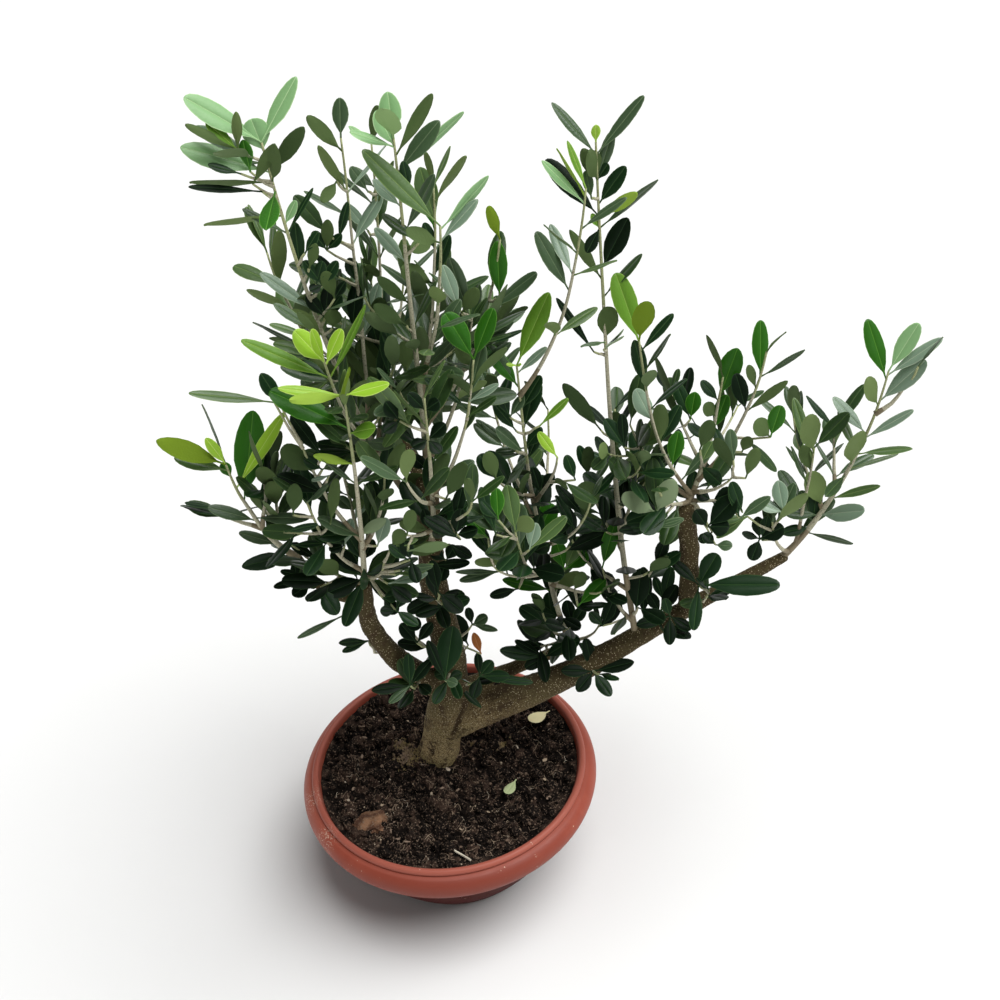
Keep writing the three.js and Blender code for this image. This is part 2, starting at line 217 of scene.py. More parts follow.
def addNode(tree, kind, settings=None, **values):
    node = tree.nodes.new(kind)
    for key, value in (settings or {}).items():
        setattr(node, key, value)
    for key, value in values.items():
        node.inputs[key.replace("_", " ")].default_value = value
    return node


def ramp(tree, source, low, high, values=(0, 1)):
    # goes from the first value to the second while the source goes from low to high
    node = addNode(tree, "ShaderNodeMapRange", {"clamp": True})
    for key, value in zip(("From Min", "From Max", "To Min", "To Max"), (low, high, *values)):
        node.inputs[key].default_value = value
    tree.links.new(source, node.inputs["Value"])
    return node.outputs["Result"]


def mixed(tree, share, a, b):
    # colour a where share is 0, colour b where it is 1
    node = addNode(tree, "ShaderNodeMix", {"data_type": "RGBA"})
    for socket, value in ((node.inputs[0], share), (node.inputs[6], a), (node.inputs[7], b)):
        if isinstance(value, (float, tuple)):
            socket.default_value = value
        else:
            tree.links.new(value, socket)
    return node.outputs[2]


def tinted(tree, base, tint, source, low, high):
    # the tint takes over from the base while the source goes from low to high
    return mixed(tree, ramp(tree, source, low, high), base, tint)


def bothOf(tree, a, b):
    node = addNode(tree, "ShaderNodeMath", {"operation": "MULTIPLY"})
    tree.links.new(a, node.inputs[0])
    tree.links.new(b, node.inputs[1])
    return node.outputs[0]


def objectPlace(tree):
    # the place in the object's own metres, and its three parts
    place = addNode(tree, "ShaderNodeTexCoord").outputs["Object"]
    parts = addNode(tree, "ShaderNodeSeparateXYZ")
    tree.links.new(place, parts.inputs["Vector"])
    return place, parts.outputs


def noiseAt(tree, place, **values):
    node = addNode(tree, "ShaderNodeTexNoise", **values)
    tree.links.new(place, node.inputs["Vector"])
    return node.outputs["Fac"]


def makeGrainGroup():
    # cloudy patches, fine grain and small round specks, all at one scale in metres
    group, given, result = newGroup(
        "surfaceGrain",
        [("Patch Size", "NodeSocketFloat", grainRule["patch"]),
         ("Grain Size", "NodeSocketFloat", grainRule["grain"]),
         ("Speck Size", "NodeSocketFloat", grainRule["speck"])],
        [("Patches", "NodeSocketFloat"), ("Grain", "NodeSocketFloat"), ("Specks", "NodeSocketFloat")])
    place = addNode(group, "ShaderNodeTexCoord")
    for socket, kind, output in (("Patch Size", "ShaderNodeTexNoise", "Patches"),
                                 ("Grain Size", "ShaderNodeTexNoise", "Grain"),
                                 ("Speck Size", "ShaderNodeTexVoronoi", "Specks")):
        turn = addNode(group, "ShaderNodeMath", {"operation": "DIVIDE"})
        turn.inputs[0].default_value = 1
        group.links.new(given.outputs[socket], turn.inputs[1])
        texture = addNode(group, kind)
        group.links.new(place.outputs["Object"], texture.inputs["Vector"])
        group.links.new(turn.outputs[0], texture.inputs["Scale"])
        if kind == "ShaderNodeTexNoise":
            texture.inputs["Detail"].default_value = grainRule["detail"]
            group.links.new(texture.outputs["Fac"], result.inputs[output])
        else:
            specks = ramp(group, texture.outputs["Distance"], *grainRule["speckEdge"])
            group.links.new(specks, result.inputs[output])
    return group


grainGroup = makeGrainGroup()


def newMaterial(name, base, roughness, patch=grainRule["patch"], grain=grainRule["grain"],
                speck=grainRule["speck"], **plain):
    # a principled shader with its own grain group; plain values go on the shader's own sockets
    material = bpy.data.materials.new(name)
    material.use_nodes = True
    tree = material.node_tree
    shader = tree.nodes["Principled BSDF"]
    shader.inputs["Base Color"].default_value = base
    shader.inputs["Roughness"].default_value = roughness
    for key, value in plain.items():
        shader.inputs[key.replace("_", " ")].default_value = value
    group = tree.nodes.new("ShaderNodeGroup")
    group.node_tree = grainGroup
    group.inputs["Patch Size"].default_value = patch
    group.inputs["Grain Size"].default_value = grain
    group.inputs["Speck Size"].default_value = speck
    material.diffuse_color = base
    return material, tree, shader, group


def bumpFrom(tree, shader, height, strength, distance):
    bump = addNode(tree, "ShaderNodeBump", Strength=strength, Distance=distance)
    tree.links.new(height, bump.inputs["Height"])
    tree.links.new(bump.outputs["Normal"], shader.inputs["Normal"])


def roughFrom(tree, shader, source, low, high):
    tree.links.new(ramp(tree, source, *noiseSpan, (low, high)), shader.inputs["Roughness"])


# Bowl

bowl = {
    "footRadius": 84, "neckRadius": 118, "neckHeight": 79,
    "bandRadius": 126, "bandMiddle": 93, "bandHalf": 13, "bandReach": 14, "bandFrom": -95, "bandTo": 60,
    "beadRing": 127, "beadMiddle": 106.8, "beadRadius": 3.2, "beadFrom": -38, "beadTo": 180,
    "wall": 3.5, "floor": 4, "footRing": 8, "footSlope": 1.5, "footRound": (1.2, 0.8), "recess": 1.5,
    "sides": 192, "bellySteps": 20, "bandSteps": 30, "beadSteps": 22, "sharp": 40,
    "clay": colour(154, 71, 52), "worn": colour(166, 84, 62), "dull": colour(142, 63, 46),
    # painted shade darkens the front and the foot under the band, a painted highlight lightens the top of the
    # bead, and the left side is lighter
    "dust": colour(208, 180, 160), "paintedFootShade": colour(72, 32, 29), "front": colour(128, 57, 42),
    "leftLighter": colour(166, 92, 75), "beadPaintedHighlight": colour(160, 85, 69),
    # from where to where each takes over, in metres, and the gloss that is lost with the painted shade on the
    # foot
    "frontSpan": (-0.08, -0.135), "leftLighterSpan": (-0.11, -0.142), "beadPaintedHighlightSpan": (0.1035, 0.1065),
    "paintedFootShadeSpan": (0.084, 0.05), "gloss": (0.32, 0.03),
    "spill": ((-0.131, -0.022, 0.104), (-0.118, -0.066, 0.1)), "spillReach": 0.016,  # dry soil on the rim
    # texture, and the noise values between which each takes over
    "roughness": 0.48, "grain": {"patch": 0.05, "grain": 0.0012, "speck": 0.0028}, "bump": (0.12, 0.0006),
    "rubbing": {"Scale": 70.0, "Detail": 6.0, "Roughness": 0.7}, "crust": {"Scale": 700.0, "Detail": 2.0},
    "dullSpan": (0.35, 0.7), "wornSpan": (0.5, 0.85), "dustSpecks": (0.6, 1.0), "dustSpan": (0.6, 0.66),
    "crustSpan": (0.56, 0.6), "roughSpan": (0.42, 0.6),
}


def bellyRadius(height):
    return blendOf(bowl["footRadius"], bowl["neckRadius"],
                   math.sin(height / bowl["neckHeight"] * math.pi / 2))


def arcPoints(radius, height, across, up, start, end, steps):
    angles = np.radians(np.linspace(start, end, steps))
    return [(radius + across * math.cos(a), height + up * math.sin(a)) for a in angles]


def latheCorners(outline, sides):
    # spins the outline round +Z; points on the axis become one corner
    corners, rings = [], []
    for radius, height in outline:
        if radius < 1e-6:
            rings.append([len(corners)])
            corners.append((0, 0, height))
            continue
        rings.append(range(len(corners), len(corners) + sides))
        for j in range(sides):
            a = 2 * math.pi * j / sides
            corners.append((radius * math.cos(a), radius * math.sin(a), height))
    faces = []
    for low, high in zip(rings, rings[1:]):
        for j in range(sides):
            k = (j + 1) % sides
            if len(low) == 1:
                faces.append((low[0], high[k], high[j]))
            elif len(high) == 1:
                faces.append((low[j], low[k], high[0]))
            else:
                faces += [(low[j], low[k], high[k]), (low[j], high[k], high[j])]
    return np.array(corners, float), faces


def bowlMaterial():
    material, tree, shader, group = newMaterial(
        "bowlPlastic", bowl["clay"], bowl["roughness"], **bowl["grain"])
    place, parts = objectPlace(tree)
    rubbed = noiseAt(tree, place, **bowl["rubbing"])
    crust = noiseAt(tree, place, **bowl["crust"])
    # sun-dulled patches, rubbed spots, painted shade on the front, a lighter left side, a painted highlight
    # on the top of the bead, and painted shade on the foot under the band
    skin = bowl["clay"]
    for tint, source in (("dull", group.outputs["Patches"]), ("worn", rubbed), ("front", parts["Y"]),
                         ("leftLighter", parts["X"]), ("beadPaintedHighlight", parts["Z"]), ("paintedFootShade", parts["Z"])):
        skin = tinted(tree, skin, bowl[tint], source, *bowl[tint + "Span"])
    # soil dust that clings to the band
    dust = bothOf(tree, ramp(tree, group.outputs["Specks"], *bowl["dustSpecks"]),
                  ramp(tree, rubbed, *bowl["dustSpan"]))
    skin = mixed(tree, dust, skin, bowl["dust"])
    for spot in bowl["spill"]:
        away = addNode(tree, "ShaderNodeVectorMath", {"operation": "DISTANCE"})
        away.inputs[1].default_value = spot
        tree.links.new(place, away.inputs[0])
        near = ramp(tree, away.outputs["Value"], bowl["spillReach"], 0)
        skin = mixed(tree, bothOf(tree, near, ramp(tree, crust, *bowl["crustSpan"])), skin, bowl["dust"])
    tree.links.new(skin, shader.inputs["Base Color"])
    roughFrom(tree, shader, rubbed, *bowl["roughSpan"])
    # painted shade on the foot also takes away its gloss
    gloss = ramp(tree, parts["Z"], *bowl["paintedFootShadeSpan"], bowl["gloss"])
    tree.links.new(gloss, shader.inputs["Specular IOR Level"])
    bumpFrom(tree, shader, group.outputs["Grain"], *bowl["bump"])
    return material


def makeBowl():
    foot, inner = bowl["footRadius"], bowl["footRadius"] - bowl["footRing"]
    roundIn, roundUp = bowl["footRound"]
    up = [h * bowl["neckHeight"] / bowl["bellySteps"] for h in range(bowl["bellySteps"] + 1)]
    outline = [(0, bowl["recess"]), (inner - bowl["footSlope"], bowl["recess"])]
    outline += [(inner, 0), (foot - roundIn, 0)]
    outline += [(bellyRadius(h), max(h, roundUp)) for h in up]
    outline += arcPoints(bowl["bandRadius"], bowl["bandMiddle"], bowl["bandReach"], bowl["bandHalf"],
                         bowl["bandFrom"], bowl["bandTo"], bowl["bandSteps"])
    outline += arcPoints(bowl["beadRing"], bowl["beadMiddle"], bowl["beadRadius"], bowl["beadRadius"],
                         bowl["beadFrom"], bowl["beadTo"], bowl["beadSteps"])
    outline += [(bellyRadius(h) - bowl["wall"], h) for h in reversed(up) if h > bowl["floor"]]
    outline += [(bellyRadius(bowl["floor"]) - bowl["wall"], bowl["floor"]), (0, bowl["floor"])]
    heap = newHeap()
    addTo(heap, *latheCorners(outline, bowl["sides"]), 0)
    settle(pieceFrom("bowl_shell", heap, [bowlMaterial()], bowl["sharp"]), "bowl_plastic", "bowl")


makeBowl()
print("bowl made")


# Soil

soil = {
    "level": 100, "edgeRise": 3, "edgeWidth": 14, "radius": 122.2,
    "mound": 4, "moundSpread": 40, "moundPlace": (-9, 17), "edgeCalm": 0.6,
    "wallGap": 0.3, "wallHeights": (79, 55, 35, 18, 4.3), "crumbEdge": 4, "fibreEdge": 10,
    "ringStep": 1.2, "sides": 290, "lumps": ((17, 3.0), (8.5, 4.2), (4.2, 2.6), (2.1, 1.2)),
    # painted shade: how often the crumbs to the right are dark
    "lumpShift": 7.3, "seed": 5, "paintedShade": 0.75, "paintedShadeFrom": 0.2, "hollow": -0.7, "anyTurn": 6.3,
    # grains and clods: how many, how finely rounded, sizes, and the share of each colour
    "crumbs": ((4600, 1, (0.7, 1.9), (0.38, 0.38, 0.22, 0.02)),
               (720, 2, (1.8, 5.6), (0.64, 0.36, 0.0, 0.0))),
    "crumbStretch": (0.6, 1.3), "crumbRough": (0.72, 1.25), "crumbLift": 0.35, "crumbSharp": 35,
    # roots and straw
    "fibres": 1400, "fibrePoints": 5, "fibreLengths": (3, 12), "fibreBends": (-0.6, 0.6),
    "fibreLifts": (0.2, 1.6), "fibreRadii": (0.1, 0.22), "fibreSides": 4, "fibreShares": (0.38, 0.54, 0.08),
    "fibreRoughness": 0.85, "fibreGrain": 0.001, "fibreRough": (0.75, 0.95), "fibreBump": (0.4, 0.0003),
    "fibreSharp": 50,
    # chips of bark
    "chips": 90, "chipLengths": (1.5, 4), "chipWidths": (0.8, 1.8), "chipThick": 0.35,
    "chipTilts": (-0.5, 0.5), "chipRough": (0.8, 1.2), "chipLift": 0.9, "chipShares": (0.3, 0.6, 0.1),
    # peat, with painted shade in the hollows of the bed
    "roughness": 0.95, "gloss": 0.15, "grain": {"patch": 0.012, "grain": 0.0016, "speck": 0.005},
    "shadeSpan": (0.4, 0.6), "brownSpan": (0.56, 0.7), "hollowShadeSpan": (0.4, -1.2), "bump": (0.9, 0.0015),
    "peat": colour(60, 46, 38), "dark": colour(16, 10, 7), "brown": colour(134, 114, 97),
    "straw": colour(170, 150, 126), "pale": colour(200, 186, 166),
}


def soilHeight(x, y):
    away = math.hypot(x, y)
    edge = min(1, max(0, (away - soil["radius"] + soil["edgeWidth"]) / soil["edgeWidth"]))
    height = soil["level"] + soil["edgeRise"] * edge**2
    fromTrunk = math.hypot(x - soil["moundPlace"][0], y - soil["moundPlace"][1])
    height += soil["mound"] * math.exp(-(fromTrunk / soil["moundSpread"]) ** 2)
    return height + (1 - soil["edgeCalm"] * edge) * soilLumps(x, y)


def soilLumps(x, y):
    return sum(depth * noise.noise(Vector((x / size, y / size, i * soil["lumpShift"])))
               for i, (size, depth) in enumerate(soil["lumps"]))


def makeSoilBed():
    rings = int(soil["radius"] / soil["ringStep"])
    outline = [(0, soil["level"])]
    outline += [(soil["radius"] * i / rings, soil["level"]) for i in range(1, rings + 1)]
    inset, heights = bowl["wall"] + soil["wallGap"], soil["wallHeights"]
    outline += [(bellyRadius(h) - inset, h) for h in heights] + [(0, heights[-1])]
    corners, faces = latheCorners(outline, soil["sides"])
    top = 1 + rings * soil["sides"]
    relief = np.zeros(len(corners), np.float32)
    for i in range(top):
        corners[i, 2] = soilHeight(corners[i, 0], corners[i, 1])
        relief[i] = soilLumps(corners[i, 0], corners[i, 1])
    heap = newHeap()
    addTo(heap, corners, [f[::-1] for f in faces], 0)
    piece = pieceFrom("soil_bed", heap, [peatMaterial("peatBed", soil["peat"], soil["dark"], True)])
    piece.data.attributes.new("relief", "FLOAT", "POINT").data.foreach_set("value", relief)
    settle(piece, "potting_soil", "soil")


def peatMaterial(name, base, shade, hollows=False):
    material, tree, shader, group = newMaterial(
        name, base, soil["roughness"], Specular_IOR_Level=soil["gloss"], **soil["grain"])
    tone = tinted(tree, shade, base, group.outputs["Patches"], *soil["shadeSpan"])
    tone = tinted(tree, tone, soil["brown"], group.outputs["Grain"], *soil["brownSpan"])
    # painted shade: darker where the soil lies low
    if hollows:
        relief = addNode(tree, "ShaderNodeAttribute", {"attribute_name": "relief"})
        tone = tinted(tree, tone, soil["dark"], relief.outputs["Fac"], *soil["hollowShadeSpan"])
    tree.links.new(tone, shader.inputs["Base Color"])
    bumpFrom(tree, shader, group.outputs["Grain"], *soil["bump"])
    return material


def ballCorners(subdivisions):
    shape = bmesh.new()
    bmesh.ops.create_icosphere(shape, subdivisions=subdivisions, radius=1)
    corners = np.array([v.co[:] for v in shape.verts])
    faces = [[v.index for v in f.verts] for f in shape.faces]
    shape.free()
    return corners, faces


def anyPlace(draw, edge):
    # somewhere on the soil, at least the edge away from its rim
    away = (soil["radius"] - edge) * math.sqrt(draw.random())
    angle = draw.random() * 2 * math.pi
    return away * math.cos(angle), away * math.sin(angle)


def makeCrumbs():
    draw = np.random.default_rng(soil["seed"])
    materials = [peatMaterial("peatCrumb", soil["peat"], soil["dark"]),
                 peatMaterial("darkCrumb", soil["dark"], soil["dark"]),
                 peatMaterial("brownCrumb", soil["brown"], soil["peat"]),
                 peatMaterial("paleCrumb", soil["pale"], soil["straw"])]
    heap = newHeap()
    for count, detail, sizes, shares in soil["crumbs"]:
        ball, faces = ballCorners(detail)
        for _ in range(count):
            x, y = anyPlace(draw, soil["crumbEdge"])
            size = blendOf(*sizes, draw.random() ** 2)
            stretch = draw.uniform(*soil["crumbStretch"], 3)
            rough = draw.uniform(*soil["crumbRough"], (len(ball), 1))
            turn = np.array(Matrix.Rotation(draw.random() * soil["anyTurn"], 3, Vector(draw.normal(size=3))))
            corners = (ball * rough * stretch * size) @ turn.T
            # painted shade: dark crumbs more often to the right, and in the hollows
            paintedShade = draw.random() < soil["paintedShade"] * (x / soil["radius"] + soil["paintedShadeFrom"])
            paintedShade = paintedShade or soilLumps(x, y) < soil["hollow"]
            addTo(heap, corners + (x, y, soilHeight(x, y) + soil["crumbLift"] * size), faces,
                  1 if paintedShade else draw.choice(len(shares), p=shares))
    settle(pieceFrom("soil_crumbs", heap, materials, soil["crumbSharp"]), "potting_soil")


def makeFibres():
    # thin roots and straw, and flat chips of composted bark
    draw = np.random.default_rng(soil["seed"] + 1)
    tones = [("strawFibre", soil["straw"]), ("brownFibre", soil["brown"]), ("paleFibre", soil["pale"])]
    materials = []
    for name, tone in tones:
        material, tree, shader, group = newMaterial(
            name, tone, soil["fibreRoughness"], grain=soil["fibreGrain"])
        roughFrom(tree, shader, group.outputs["Grain"], *soil["fibreRough"])
        bumpFrom(tree, shader, group.outputs["Grain"], *soil["fibreBump"])
        materials.append(material)
    heap = newHeap()
    for _ in range(soil["fibres"]):
        place = np.array(anyPlace(draw, soil["fibreEdge"]))
        heading = draw.random() * 2 * math.pi
        length, bend = draw.uniform(*soil["fibreLengths"]), draw.uniform(*soil["fibreBends"])
        if soilLumps(*place) < soil["hollow"]:
            continue
        points = []
        step = length / (soil["fibrePoints"] - 1)
        for _ in range(soil["fibrePoints"]):
            lift = draw.uniform(*soil["fibreLifts"])
            points.append((*place, soilHeight(*place) + lift))
            place = place + step * np.array([math.cos(heading), math.sin(heading)])
            heading += bend
        radii = np.full(len(points), draw.uniform(*soil["fibreRadii"]))
        corners, faces = tube(points, radii, soil["fibreSides"])
        addTo(heap, corners, faces, draw.choice(len(tones), p=soil["fibreShares"]))
    ball, faces = ballCorners(1)
    for _ in range(soil["chips"]):
        x, y = anyPlace(draw, soil["fibreEdge"])
        long, wide = draw.uniform(*soil["chipLengths"]), draw.uniform(*soil["chipWidths"])
        turn = Matrix.Rotation(draw.random() * soil["anyTurn"], 3, "Z")
        turn = turn @ Matrix.Rotation(draw.uniform(*soil["chipTilts"]), 3, "X")
        rough = draw.uniform(*soil["chipRough"], (len(ball), 1))
        corners = (ball * np.array([long, wide, soil["chipThick"]]) * rough) @ np.array(turn).T
        addTo(heap, corners + (x, y, soilHeight(x, y) + soil["chipLift"]), faces,
              draw.choice(len(tones), p=soil["chipShares"]))
    settle(pieceFrom("soil_fibres", heap, materials, soil["fibreSharp"]), "potting_soil")


makeSoilBed()
makeCrumbs()
makeFibres()
print("soil made")


# Limbs: the same axes and radii as the CAD model

limbPlan = {
    "trunk": {
        "points": [(-11, 18, 84), (0, 9, 145), (11, 1, 200), (13, 0, 250), (8, 1, 310), (9, 2, 365),
                   (13, 2, 425)], "root": 18.5, "tip": 9},
    "right_bough": {
        "points": [(3, 8, 150), (110, -10, 201), (230, -9, 263), (316, 0, 297)], "root": 18.5, "tip": 5},
    "right_upright": {"points": [(227, -9, 261), (226, -9, 320), (221, -8, 372)], "root": 8.5, "tip": 8},
    "left_bough": {
        "points": [(10, 0, 192), (-33, -6, 250), (-50, -9, 295), (-50, -10, 340)], "root": 12.5, "tip": 7},
    "left_outer_branch": {
        "points": [(-50, -10, 320), (-84, 4, 330), (-103, 22, 356)], "root": 5.5, "tip": 3.5},
    "back_bough": {"points": [(11, 2, 194), (68, 26, 186), (133, 40, 193)], "root": 8, "tip": 5},
    "rear_bough": {"points": [(8, 1, 330), (8, 50, 385), (0, 85, 420)], "root": 8, "tip": 5},
}
limbLines = {name: lineThrough(plan["points"]) for name, plan in limbPlan.items()}
bark = {
    "flareReach": 3, "flareHeight": 16, "flareLobes": 3, "flareLobeDepth": 0.45,
    "forkHeight": 172, "forkSwell": 3, "forkSpread": 26, "taperPower": 1.3,
    "voxel": 1.25, "ringStep": 4, "sides": 28, "smoothing": 14, "smoothFactor": 0.5,
    # steps between stations, foot below the soil, and rounded cut ends
    "stationStep": 3, "footHeight": 93, "endRise": 1.2, "endShare": 0.72,
    # relief: size and depth of each kind
    "waves": ((30, 1.1), (12, 0.7)), "flutes": (9, 0.8), "fine": ((3.4, 0.42), (1.9, 0.26)),
    "warts": (6, 0.5), "wartFall": 3.2, "along": 0.78, "slimRadius": 12, "fluteShift": (9, 4, 2),
    # how much the warts and the crack change the colours; the crack's darkening is painted shade
    "wartTone": 1.4, "crackShadeTone": 0.15,
    # knots and old cuts: limb, share of its length, roll, size, height
    "knots": (("right_bough", 0.12, 1.9, 7, 2.0), ("right_bough", 0.34, -0.6, 5, 1.6),
              ("right_bough", 0.6, 2.4, 5, 1.8), ("right_upright", 0.6, 0.4, 7, 3.2),
              ("trunk", 0.3, 3.6, 6, 1.6), ("trunk", 0.55, 4.6, 6, 2.2), ("left_bough", 0.45, 4.4, 5, 2.0),
              ("left_bough", 0.8, 1.0, 5, 1.8), ("back_bough", 0.4, 2.0, 4, 1.4)),
    "knotReach": 1.8, "knotFall": 1.6, "dimple": 0.75, "dimpleFall": 9,
    "seam": ((24, -12, 193), (15, -13, 173), (6, -12, 149)), "seamHalf": 1, "seamReach": 1.8,
    "seamDepth": 1.7, "lip": 0.8, "lipPlace": 2, "seamEnd": 5,
    "skin": colour(192, 169, 124), "cleft": colour(66, 53, 35), "speck": colour(216, 200, 164),
    "shaded": colour(80, 72, 46), "shadedSpan": (0.12, 0.2),  # the boughs are darker than the foot
    "moss": colour(168, 152, 106), "red": colour(160, 130, 96), "grainShare": 0.85,
    "roughness": 0.9, "gloss": 0.2, "grain": {"patch": 0.045, "grain": 0.0012, "speck": 0.0019},
    "redNoise": {"Scale": 14.0, "Detail": 3.0}, "mossSpan": (0.4, 0.62), "redSpan": (0.54, 0.72),
    "cleftSpan": (0.5, 0.28), "grainSpan": (0.58, 0.4), "speckSpan": (0.55, 1.3), "bump": (0.8, 0.0008),
}


def limbRadius(name, share, turns):
    plan = limbPlan[name]
    if name != "trunk":
        return np.full(len(turns), blendOf(plan["tip"], plan["root"], (1 - share) ** bark["taperPower"]))
    height = placeOn(limbLines["trunk"], share)[2]
    flare = bark["flareReach"] * math.exp(-max(0, height - soil["level"]) / bark["flareHeight"])
    lobes = 1 + bark["flareLobeDepth"] * np.cos(bark["flareLobes"] * turns)
    swell = bark["forkSwell"] * math.exp(-((height - bark["forkHeight"]) / bark["forkSpread"]) ** 2)
    return blendOf(plan["root"], plan["tip"], share) + flare * lobes + swell


def limbStations():
    # places along every limb's axis, with heading and radius, for tests and for the bark's grain
    places, headings, radii = [], [], []
    for name, line in limbLines.items():
        for share in np.linspace(0, 1, int(lengthOf(line) / bark["stationStep"]) + 2):
            places.append(placeOn(line, share))
            headings.append(headingOn(line, share))
            radii.append(limbRadius(name, share, np.zeros(1))[0])
    return np.array(places), np.array(headings), np.array(radii)


limbPlaces, limbHeadings, limbRadii = limbStations()


def makeBark():
    heap = newHeap()
    turns = np.arange(bark["sides"]) * 2 * math.pi / bark["sides"]
    for name, line in limbLines.items():
        shares = np.linspace(0, 1, int(lengthOf(line) / bark["ringStep"]) + 2)
        points = np.array([placeOn(line, s) for s in shares])
        radii = np.array([limbRadius(name, s, turns) for s in shares])
        keep = points[:, 2] > bark["footHeight"]
        points, radii = points[keep], radii[keep]
        points = np.vstack([points, points[-1] + headingOn(line, 1) * bark["endRise"]])
        radii = np.vstack([radii, radii[-1] * bark["endShare"]])
        corners, faces = tube(points, radii, bark["sides"])
        addTo(heap, corners, faces, 0)
    piece = pieceFrom("bark_limbs", heap, [])
    piece.data.remesh_voxel_size = bark["voxel"] * mm
    bpy.context.view_layer.objects.active = piece
    piece.select_set(True)
    bpy.ops.object.voxel_remesh()
    smooth = piece.modifiers.new("smooth", "SMOOTH")
    smooth.factor, smooth.iterations = bark["smoothFactor"], bark["smoothing"]
    bpy.ops.object.modifier_apply(modifier="smooth")
    raiseBark(piece.data)
    piece.data.materials.append(barkMaterial())
    piece.data.polygons.foreach_set("use_smooth", np.ones(len(piece.data.polygons), bool))
    piece.select_set(False)
    settle(piece, "bark", *limbPlan)


def knotPlaces():
    found = []
    for name, share, roll, size, height in bark["knots"]:
        line = limbLines[name]
        radius = limbRadius(name, share, np.zeros(1))[0]
        found.append((placeOn(line, share) + sideOf(headingOn(line, share), roll) * radius, size, height))
    return found


def raiseBark(mesh):
    # lifts and sinks the skin along its normals, and keeps the height for the colours
    count = len(mesh.vertices)
    corners = np.empty(count * 3)
    normals = np.empty(count * 3)
    mesh.vertices.foreach_get("co", corners)
    mesh.vertices.foreach_get("normal", normals)
    corners, normals = corners.reshape(-1, 3) / mm, normals.reshape(-1, 3)
    lift, relief = np.zeros(count), np.zeros(count)
    knots = knotPlaces()
    seam = lineThrough(bark["seam"])["points"]
    for i, p in enumerate(corners):
        near = np.argmin(np.linalg.norm(limbPlaces - p, axis=1) - limbRadii)
        along = limbHeadings[near]
        q = p - bark["along"] * np.dot(p, along) * along
        slim = min(1, limbRadii[near] / bark["slimRadius"])
        for size, depth in bark["waves"]:
            lift[i] += slim * depth * noise.noise(Vector(p / size))
        size, depth = bark["flutes"]
        flute = slim * depth * noise.noise(Vector(q / size) + Vector(bark["fluteShift"]))
        fine = sum(depth * noise.noise(Vector(p / size)) for size, depth in bark["fine"])
        size, depth = bark["warts"]
        wart = depth * max(0, 1 - bark["wartFall"] * noise.voronoi(Vector(p / size))[0][0])
        knot = 0
        for place, reach, height in knots:
            away = np.linalg.norm(p - place) / reach
            if away < bark["knotReach"]:
                swell = math.exp(-away**2 * bark["knotFall"])
                knot += height * (swell - bark["dimple"] * math.exp(-away**2 * bark["dimpleFall"]))
        # the crack where trunk and bough part: a groove with raised lips
        away = (np.linalg.norm(seam - p, axis=1).min() - bark["seamHalf"]) / bark["seamReach"]
        crack = 0
        if away < bark["seamEnd"]:
            lips = bark["lip"] * math.exp(-((away - bark["lipPlace"]) ** 2))
            crack = bark["seamDepth"] * (lips - math.exp(-(away**2)))
        lift[i] += flute + slim * fine + wart + knot + crack
        # the relief also drives the colours; the crack's share of it is painted shade in the groove
        relief[i] = 0.5 + 0.5 * (flute + fine + bark["wartTone"] * wart) + bark["crackShadeTone"] * min(0, crack)
    mesh.vertices.foreach_set("co", ((corners + normals * lift[:, None]) * mm).ravel())
    stored = mesh.attributes.new("relief", "FLOAT", "POINT")
    stored.data.foreach_set("value", relief.astype(np.float32))
    mesh.update()


def barkMaterial():
    material, tree, shader, group = newMaterial(
        "barkSkin", bark["skin"], bark["roughness"], Specular_IOR_Level=bark["gloss"], **bark["grain"])
    relief = addNode(tree, "ShaderNodeAttribute", {"attribute_name": "relief"})
    place, parts = objectPlace(tree)
    reds = noiseAt(tree, place, **bark["redNoise"])
    skin = bark["skin"]
    for tint, source in (("moss", group.outputs["Patches"]), ("red", reds), ("shaded", parts["Z"])):
        skin = tinted(tree, skin, bark[tint], source, *bark[tint + "Span"])
    # darker where the relief lies low, in the clefts and, as painted shade, in the crack
    worn = tinted(tree, skin, bark["cleft"], relief.outputs["Fac"], *bark["cleftSpan"])
    grainy = tinted(tree, worn, bark["cleft"], group.outputs["Grain"], *bark["grainSpan"])
    skin = mixed(tree, bark["grainShare"], worn, grainy)
    skin = tinted(tree, skin, bark["speck"], group.outputs["Specks"], *bark["speckSpan"])
    tree.links.new(skin, shader.inputs["Base Color"])
    bumpFrom(tree, shader, group.outputs["Grain"], *bark["bump"])
    return material


makeBark()
print("bark made")


# Foliage plan: each mass has one stem from its limb, and leading shoots [share on the stem, tip x, y, z]

